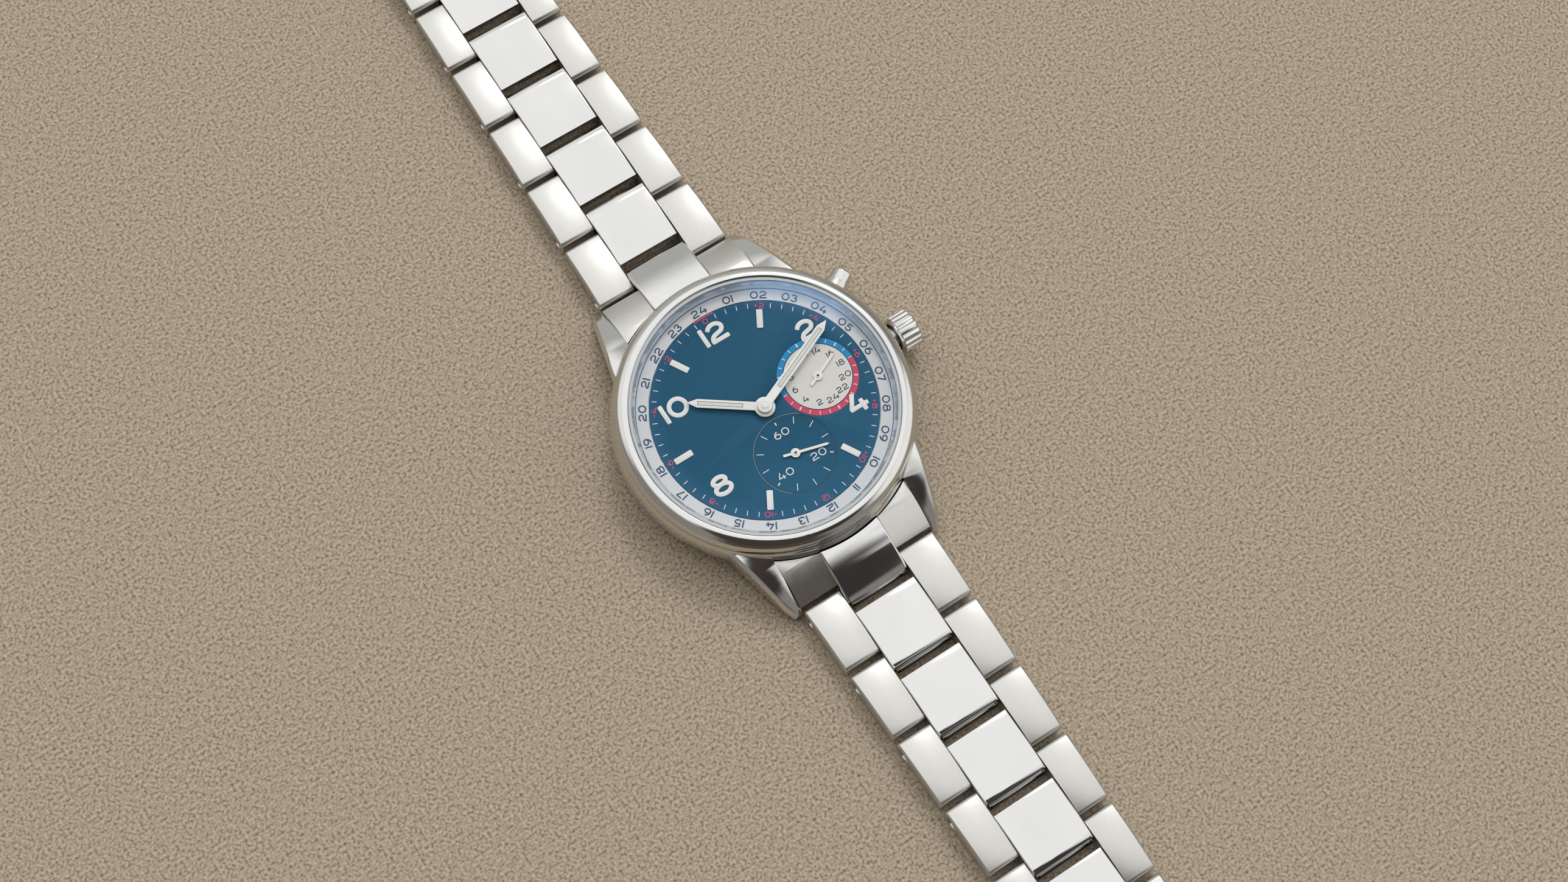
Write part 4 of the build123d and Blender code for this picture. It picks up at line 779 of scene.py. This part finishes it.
def open_stroke(points, width):
    """Points of a stroke with their widths, drawn in a little at its ends to round the corners."""
    first, second = Vector(points[0]), Vector(points[1])
    last, before = Vector(points[-1]), Vector(points[-2])
    head, tail = (first - second).normalized(), (last - before).normalized()
    reach, corner = width / 2, width * CORNER
    path = [(first + head * reach, END_WIDTH), (first + head * (reach - corner), 1.0)]
    path += [(Vector(p), 1.0) for p in points[1:-1]]
    path += [(last + tail * (reach - corner), 1.0), (last + tail * reach, END_WIDTH)]
    return path


def draw(line, points, width, lift):
    """Draw one stroke. A stroke that ends where it starts is a ring."""
    closed = (Vector(points[0]) - Vector(points[-1])).length < width / 100
    path = [(point, 1.0) for point in points[:-1]] if closed else open_stroke(points, width)
    line.points.add(len(path) - 1)
    for point, (spot, radius) in zip(line.points, path):
        point.co = (spot[0] * MM, spot[1] * MM, lift * MM, 1)
        point.radius = radius
    line.use_cyclic_u = closed


# %% Strokes of whole labels
def strokes_of(labels, height):
    """Strokes of labels, each a text, its centre and its angle, as points in millimetres."""
    for text, centre, angle in labels:
        total = sum(FIGURES[c][0] for c in text) + FIGURE_GAP * (len(text) - 1)
        pen_x = -total / 2
        turn = Matrix.Rotation(radians(angle), 2)
        for letter in text:
            advance, strokes = FIGURES[letter]
            for stroke in strokes:
                spots = [turn @ Vector(((pen_x + x) * height, (y - 0.5) * height)) for x, y in stroke]
                yield [(spot.x + centre[0], spot.y + centre[1]) for spot in spots]
            pen_x += advance + FIGURE_GAP


# %% Sweep the strokes
LIFT_STEP, LIFT_CYCLE, PEN_CREASE = 0.06, 0.23, 40


def write(name, labels, height, width, thickness, level, body, finish, slot):
    """Write labels as one piece, with strokes a hair apart in height so that tops don't coincide."""
    path = bpy.data.curves.new(name, "CURVE")
    path.dimensions = "3D"
    path.twist_mode = "Z_UP"
    bar = pen(width, thickness)
    bpy.context.scene.collection.objects.link(bar)
    path.bevel_mode = "OBJECT"
    path.bevel_object = bar
    path.use_fill_caps = True
    lift = 0
    for spots in strokes_of(labels, height):
        lift = (lift + thickness * LIFT_STEP) % (thickness * LIFT_CYCLE)
        draw(path.splines.new("POLY"), spots, width, lift)
    piece = bpy.data.objects.new(name, path)
    bpy.context.scene.collection.objects.link(piece)
    only(piece)
    bpy.ops.object.convert(target="MESH")
    piece = bpy.context.view_layer.objects.active
    bpy.data.objects.remove(bar)
    piece.location.z = level * MM
    only(piece)
    bpy.ops.object.mode_set(mode="EDIT")
    bpy.ops.mesh.select_all(action="SELECT")
    bpy.ops.mesh.remove_doubles(threshold=WELD / 10)
    bpy.ops.mesh.normals_make_consistent(inside=False)
    bpy.ops.object.mode_set(mode="OBJECT")
    bpy.ops.object.shade_smooth_by_angle(angle=radians(PEN_CREASE))
    settle(piece, name, body, finish, slot)
    print("faces of", name + ":", len(piece.data.polygons))


# %% [markdown]
# ## Figures of the dial
#
# The five large hour figures are thick strokes of compound on the blue. The small seconds carry 60,
# 20 and 40, the red figures by the minute track give the offset of each hour, and the twenty-four
# hour dial has navy figures. All sizes and places were measured on the plane of the dial.

# %% Hour figures. A size is the height of the figures, and the width and thickness of the pen
DIAL_LEVEL, SUB_DIAL_LEVEL = 6.6, 6.52
HOUR_SIZE = (2.27, 0.6, 0.09)
hours = [("12", (0.0, 12.2), 0), ("10", (-9.79, 6.13), 0), ("2", (10.48, 6.2), 0),
         ("4", (10.42, -5.8), 0), ("8", (-10.27, -5.75), 0)]
write("hour_figures", hours, *HOUR_SIZE, DIAL_LEVEL, "case", lume, "lume_white")

# %% Figures of the small seconds and of the home time
THIN_INK, THICK_INK = 0.012, 0.02
HOME_CENTRE, HOME_FIGURE_RADIUS = (8.2, 0.0), 3.53
HOME_DISC_LEVEL = SUB_DIAL_LEVEL + THICK_INK
SECONDS_SIZE, HOME_SIZE = (0.9, 0.14, THICK_INK), (0.70, 0.13, THIN_INK)
seconds_labels = [("60", (-0.03, -3.98), 0), ("20", (2.46, -8.82), 0), ("40", (-2.55, -8.82), 0)]
write("seconds_figures", seconds_labels, *SECONDS_SIZE, SUB_DIAL_LEVEL, "case",
      ink_white, "lume_white")
home_labels = []
for hour in range(2, 25, 2):
    x, y = polar(HOME_FIGURE_RADIUS, clock_angle(hour / 24 + 1 / 2))
    home_labels.append((str(hour), (x + HOME_CENTRE[0], y + HOME_CENTRE[1]), 0))
write("home_figures", home_labels, *HOME_SIZE, HOME_DISC_LEVEL, "case",
      ink_navy, "dial_blue")

# %% Red offset figures beside the minute track
OFFSET_RADIUS, OFFSET_SIZE = 14.2, (0.66, 0.12, THIN_INK)
offsets = ["0", "+2", "+4", "+6", "+8", "+10", "12", "-10", "-8", "-6", "-4", "-2"]
offset_labels = []
for hour, text in enumerate(offsets):
    angle = clock_angle(hour / 12)
    offset_labels.append((text, polar(OFFSET_RADIUS, angle), angle - 90))
write("offset_figures", offset_labels, *OFFSET_SIZE, DIAL_LEVEL, "case",
      ink_red, "dial_blue")

# %% [markdown]
# ## The turning zone ring
#
# The white ring round the dial turns in steps, one zone at a time. Its zones are numbered 01 to 24 in
# navy ink, tops outwards. The numbers ride on the ring's own body, so that they turn with it.

# %% Zone numbers
ZONE_RADIUS, ZONE_LEVEL, ZONE_SIZE = 15.72, 6.575, (0.88, 0.18, 0.03)
zone_labels = []
for zone in range(1, 25):
    angle = clock_angle((zone % 24) / 24)
    zone_labels.append((f"{zone:02d}", polar(ZONE_RADIUS, angle), angle - 90))
write("zone_figures", zone_labels, *ZONE_SIZE, ZONE_LEVEL, "zone_ring",
      ink_navy, "ring_white")

# %% [markdown]
# ## Printed ticks
#
# A tick is a thin bar of ink. One bar of each size is made from a cube, its edges bevelled in edit
# mode, and then copied round the circle, each copy with its own mesh. All copies are joined into one
# track.


# %% One bar and a circle of copies
RIM_SHARE = 0.3


def bar(length, width, thickness):
    """One printed bar lying along X at the origin."""
    bpy.ops.object.select_all(action="DESELECT")
    bpy.ops.mesh.primitive_cube_add(size=1, location=(0, 0, thickness * MM / 2))
    piece = bpy.context.active_object
    piece.scale = (length * MM, width * MM, thickness * MM)
    bpy.ops.object.transform_apply(location=True, rotation=True, scale=True)
    bpy.ops.object.mode_set(mode="EDIT")
    bpy.ops.mesh.select_all(action="SELECT")
    bpy.ops.mesh.bevel(offset=min(width, thickness) * RIM_SHARE * MM, segments=1)
    bpy.ops.object.mode_set(mode="OBJECT")
    return piece


def track(name, marks, thickness, centre, level, body, finish, slot):
    """A track of bars. Each mark is its share of a turn, inner radius, outer radius and width."""
    models, pieces = {}, []
    for share, inner, outer, width in marks:
        size = (outer - inner, width)
        if size not in models:
            models[size] = bar(*size, thickness)
        piece = bpy.data.objects.new(name, models[size].data.copy())
        bpy.context.scene.collection.objects.link(piece)
        angle = clock_angle(share)
        x, y = polar((inner + outer) / 2, angle)
        piece.rotation_euler.z = radians(angle)
        piece.location = ((x + centre[0]) * MM, (y + centre[1]) * MM, level * MM)
        only(piece)
        bpy.ops.object.transform_apply(location=True, rotation=True, scale=True)
        pieces.append(piece)
    for model in models.values():
        bpy.data.objects.remove(model)
    settle(joined(pieces), name, body, finish, slot)
    print("bars of", name + ":", len(marks))


# %% Minute track, seconds track
AXIS, TICK, TICK_INK = (0, 0), 0.1, 0.015
minute_marks = [(m / 60, 13.9, 14.55, TICK) for m in range(60) if m % 5]
track("minute_track", minute_marks, TICK_INK, AXIS, DIAL_LEVEL, "case", ink_white, "lume_white")
seconds_marks = []
for mark in range(12):
    size = (4.02, 4.98, TICK) if mark % 4 else (4.45, 4.87, 0.17)
    seconds_marks.append((mark / 12, *size))
track("seconds_track", seconds_marks, TICK_INK, SECONDS_CENTRE, SUB_DIAL_LEVEL, "case",
      ink_white, "lume_white")

# %% [markdown]
# ## Printed rings
#
# The home time sub-dial is a warm white disc in a ring that is blue for the day hours and red for
# the night. A ring starts as a filled circle: its inset leaves a middle face, which is deleted, and
# what is left is extruded to the thickness of the print. A bisect cuts a half ring out of a whole one.


# %% Rings and discs of ink
RING_STEPS = 192


def ring(name, outer, inner, thickness, centre, level, body, finish, slot, cuts=()):
    """A flat printed ring, or a disc if inner is 0. Each cut is a direction whose side is removed."""
    bpy.ops.object.select_all(action="DESELECT")
    place = (centre[0] * MM, centre[1] * MM, level * MM)
    bpy.ops.mesh.primitive_circle_add(vertices=RING_STEPS, radius=outer * MM, fill_type="NGON",
                                      location=place)
    piece = bpy.context.active_object
    bpy.ops.object.mode_set(mode="EDIT")
    bpy.ops.mesh.select_all(action="SELECT")
    if inner:
        bpy.ops.mesh.inset(thickness=(outer - inner) * MM, use_even_offset=True)
        bpy.ops.mesh.delete(type="ONLY_FACE")
    for direction in cuts:
        bpy.ops.mesh.select_all(action="SELECT")
        bpy.ops.mesh.bisect(plane_co=place, plane_no=(*direction, 0), clear_outer=True)
    bpy.ops.mesh.select_all(action="SELECT")
    up = {"value": (0, 0, thickness * MM)}
    bpy.ops.mesh.extrude_region_move(TRANSFORM_OT_translate=up)
    bpy.ops.mesh.select_all(action="SELECT")
    bpy.ops.mesh.normals_make_consistent(inside=False)
    bpy.ops.object.mode_set(mode="OBJECT")
    settle(piece, name, body, finish, slot)


# %% The home time sub-dial
for name, outer, inner, finish, slot, cuts in (
        ("home_disc", 4.48, 0, warm_white, "ring_white", ()),
        ("home_outline", 4.58, 4.5, ink_navy, "dial_blue", ()),
        ("day_ring", 5.34, 4.6, ink_day, "dial_blue", [(0, -1)]),
        ("night_ring", 5.34, 4.6, ink_red, "dial_blue", [(0, 1)])):
    ring(name, outer, inner, THICK_INK, HOME_CENTRE, SUB_DIAL_LEVEL, "case", finish, slot, cuts)
    print(name, "reaches a radius of", outer, "mm")
home_marks = []
for hour in range(24):
    home_marks.append((hour / 24 + 1 / 2, 4.74, 5.24, TICK if hour % 4 else 0.19))
track("home_track", home_marks, THIN_INK, HOME_CENTRE, HOME_DISC_LEVEL, "case",
      ink_white, "lume_white")

# %% [markdown]
# The wall of the sunk small seconds is in shade all round and catches light on one side. Two thin
# rings draw this as painted shade and a painted highlight. A fine navy line at the outer edge of the
# zone ring is painted shade in the gap under the flange. A short red arc marks the zone at 12 o'clock:
# it is a ring too, cut on both sides by bisecting planes.

# %% Painted shade and highlight at the small seconds, painted shade at the zone ring, and the red mark at 12 o'clock
LIT_SIDE, GLEAM_THICKNESS = (0.80, -0.60), 0.008
# Painted shade all round the wall of the small seconds, and a painted highlight on its lit side.
ring("seconds_edge_shade", 5.32, 5.15, THICK_INK, SECONDS_CENTRE, SUB_DIAL_LEVEL, "case",
     painted_shade_blue, "dial_blue")
ring("seconds_gleam", 5.40, 5.33, GLEAM_THICKNESS, SECONDS_CENTRE, DIAL_LEVEL, "case",
     painted_gleam_blue, "dial_blue", [LIT_SIDE])
ZONE_SHADE_LEVEL, MARK_HALF_ANGLE = 6.592, 5.8
# Painted shade: a navy line where the zone ring runs under the flange.
ring("zone_edge_shade", 16.66, 16.56, THICK_INK, AXIS, ZONE_SHADE_LEVEL, "zone_ring",
     ink_navy, "ring_white")
side_x, side_y = polar(1, MARK_HALF_ANGLE)
ring("home_mark", 14.88, 14.70, TICK_INK, AXIS, DIAL_LEVEL, "case",
     ink_red, "dial_blue", [(-side_x, -side_y), (side_x, -side_y)])
print("half angle of the red mark, degrees:", MARK_HALF_ANGLE)

# %% [markdown]
# ## Filled hands
#
# The two main hands have a sunk channel that is filled with compound. A grey bar on the floor of the
# channel and a slightly narrower pale bar on top of it leave a fine dark outline round the filling,
# which is painted shade in the narrow gap. Both are made along X, turned to the time that the hand
# shows and hung on that hand.

# %% Fill the hands
MINUTE_READING, CHANNEL_WIDTH, FILLING_WIDTH = 11.15, 0.53, 0.42
SHADE_THICKNESS, FILLING_THICKNESS, SHADE_GAP, FILLING_GAP = 0.01, 0.06, 0.01, 0.07
minute_share = MINUTE_READING / 60
hour_share = (10 + minute_share) / 12
for hand, share, start, end, floor_level in (
        ("hour", hour_share, 2.8, 8.7, 7.18), ("minute", minute_share, 3.2, 12.9, 7.53)):
    # The grey bar is painted shade in the gap between the filling and the walls of the channel.
    shade = [(share, start + SHADE_GAP, end - SHADE_GAP, CHANNEL_WIDTH)]
    filling = [(share, start + FILLING_GAP, end - FILLING_GAP, FILLING_WIDTH)]
    track(hand + "_channel", shade, SHADE_THICKNESS, AXIS, floor_level, hand,
          channel_shade, "lume_white")
    track(hand + "_filling", filling, FILLING_THICKNESS, AXIS, floor_level + SHADE_THICKNESS, hand,
          filling_paint, "lume_white")

# %% Ring on the hub and dots on the small hubs
HUB_LEVEL, SMALL_HUB_LEVEL, DOT_RADIUS = 7.77, 6.90, 0.17
ring("hub_ring", 0.56, 0.44, THIN_INK, AXIS, HUB_LEVEL, "minute", stem_steel, "lume_white")
for name, centre, body in (("seconds_dot", SECONDS_CENTRE, "seconds"),
                           ("home_dot", HOME_CENTRE, "home_time")):
    ring(name, DOT_RADIUS, 0, THIN_INK, centre, SMALL_HUB_LEVEL, body, ink_navy, "lume_white")
print("marks on the hubs at", HUB_LEVEL, "and", SMALL_HUB_LEVEL, "mm")

# %% [markdown]
# ## Floor and lights
#
# Polished metal shows its surroundings more than itself, so the room matters more than the lamps. Two
# soft panels light the paint and the floor and cast the shadows. What the steel mirrors comes from the
# room after them: bright where the tops of the links look, dark where the tabs and lugs curve away.

# %% Floor
FLOOR_SIZE, FLOOR_LEVEL, FLECKS_PER_METRE = 3.0, -0.00003, 2600
floor_finish = Finish("pale_floor")
speckle = floor_finish.noise(floor_finish.place(scale=(FLECKS_PER_METRE,) * 3), detail=3.0)
flecks = [
    (0.30, (0.19, 0.143, 0.102, 1)),
    (0.48, (0.44, 0.358, 0.264, 1)),
    (0.70, (0.64, 0.535, 0.405, 1)),
]
fleck = floor_finish.node("ShaderNodeValToRGB", {"stops": flecks}, {"Fac": speckle})
floor_finish.set("Base Color", fleck)
floor_finish.set("Roughness", 0.75)
bpy.ops.object.select_all(action="DESELECT")
bpy.ops.mesh.primitive_plane_add(size=FLOOR_SIZE, location=(0, 0, FLOOR_LEVEL))
floor = bpy.context.active_object
floor.name = "floor"
floor.data.materials.append(floor_finish.material)
print("stops of the floor's flecks:", len(flecks))


# %% Lights
def panel(name, place, size, power, colour=(1, 1, 1)):
    """A soft panel aimed at the watch, which polished parts don't mirror."""
    light = bpy.data.lights.new(name, "AREA")
    light.shape = "RECTANGLE"
    light.size, light.size_y = size
    light.energy = power
    light.color = colour
    lamp = bpy.data.objects.new(name, light)
    lamp.location = place
    lamp.rotation_euler = Vector(place).to_track_quat("Z", "Y").to_euler()
    lamp.visible_glossy = False
    bpy.context.scene.collection.objects.link(lamp)
    print(name, "at", place, "with", power, "W")


panel("window_panel", (0.42, 0.50, 0.76), (0.30, 0.20), 1.45)
panel("soft_panel", (-0.30, 0.75, 0.60), (0.6, 0.5), 0.2, (1.0, 0.99, 0.97))


# %% [markdown]
# ## The room
#
# Polished steel and glass show what stands around them, so the world is a plain grey room with soft
# patches: bright overhead, on three walls and at the window, and dark on the near side, where a room
# is unlit. Each patch depends on direction alone, so it stays the same in every view. The lamps are
# kept out of reflections, because the sharp edge of a lamp would show in the crystal.


# %% Room
def toward(tree, direction, near, far):
    """A share that is 1 in this direction and falls to 0 between two angles in degrees."""
    coordinates = tree.nodes.new("ShaderNodeTexCoord")
    dot = tree.nodes.new("ShaderNodeVectorMath")
    dot.operation = "DOT_PRODUCT"
    tree.links.new(coordinates.outputs["Generated"], dot.inputs[0])
    dot.inputs[1].default_value = Vector(direction).normalized()
    fall = tree.nodes.new("ShaderNodeMapRange")
    fall.interpolation_type = "SMOOTHSTEP"
    tree.links.new(dot.outputs["Value"], fall.inputs["Value"])
    fall.inputs["From Min"].default_value = cos(radians(far))
    fall.inputs["From Max"].default_value = cos(radians(near))
    return fall.outputs["Result"]


def blend(tree, share, first, second):
    """Mix two colours of the room, each a socket or an RGBA value."""
    mixed = tree.nodes.new("ShaderNodeMix")
    mixed.data_type = "RGBA"
    tree.links.new(share, mixed.inputs[0])
    for value, target in ((first, mixed.inputs[6]), (second, mixed.inputs[7])):
        if isinstance(value, tuple):
            target.default_value = value
        else:
            tree.links.new(value, target)
    return mixed.outputs[2]


# %% Patches of the room: direction, inner and outer angle in degrees, colour
world = bpy.data.worlds.new("room")
world.use_nodes = True
room = world.node_tree
room_colour = (0.27, 0.26, 0.245, 1)
patches = {
    "far_wall": ((0.15, 0.88, 0.45), 25, 48, (0.52, 0.52, 0.50, 1)),
    "overhead": ((0.10, 0.25, 0.96), 30, 50, (1.12, 1.12, 1.12, 1)),
    "left_wall": ((-0.50, 0.70, 0.51), 10, 28, (0.98, 0.98, 0.96, 1)),
    "right_wall": ((0.82, -0.42, 0.48), 20, 34, (1.05, 1.05, 1.03, 1)),
    "dark_low": ((-0.42, -0.85, 0.30), 22, 34, (0.09, 0.075, 0.06, 1)),
    "dark_near": ((0.09, -0.53, 0.84), 10, 20, (0.045, 0.04, 0.04, 1)),
    "dark_side": ((-0.36, -0.62, 0.70), 16, 26, (0.06, 0.05, 0.04, 1)),
    "dark_above": ((-0.28, -0.38, 0.88), 14, 23, (0.06, 0.05, 0.04, 1)),
    "window": ((0.42, 0.44, 0.79), 3, 10, (4.6, 4.6, 4.6, 1)),
}
for direction, near, far, colour in patches.values():
    room_colour = blend(room, toward(room, direction, near, far), room_colour, colour)
room.links.new(room_colour, room.nodes["Background"].inputs["Color"])
bpy.context.scene.world = world
bpy.context.scene.view_settings.view_transform = "Standard"
print("patches of the room:", list(patches))

# %% [markdown]
# ## The camera
#
# The camera looks down on the watch from the side of 7 o'clock, a quarter of a metre above it. Its
# place, direction and lens were fitted to marks of the dial. The three axes of the view make the
# columns of its matrix, which is exact and needs no target object.

# %% Camera
eye = Vector((-0.05618, -0.07145, 0.26890))
view = Vector((0.2021, 0.2404, -0.9494)).normalized()
up_hint = Vector((0.51, 0.80, 0.32))
right = view.cross(up_hint).normalized()
up = right.cross(view)
camera_data = bpy.data.cameras.new("camera")
camera_data.lens = 49.56
camera_data.sensor_width = 36
camera_data.clip_start = 0.01
camera = bpy.data.objects.new("camera", camera_data)
camera.matrix_world = Matrix.Translation(eye) @ Matrix((right, up, -view)).transposed().to_4x4()
bpy.context.scene.collection.objects.link(camera)
bpy.context.scene.camera = camera
print("eye to dial, m:", round(eye.length, 3))
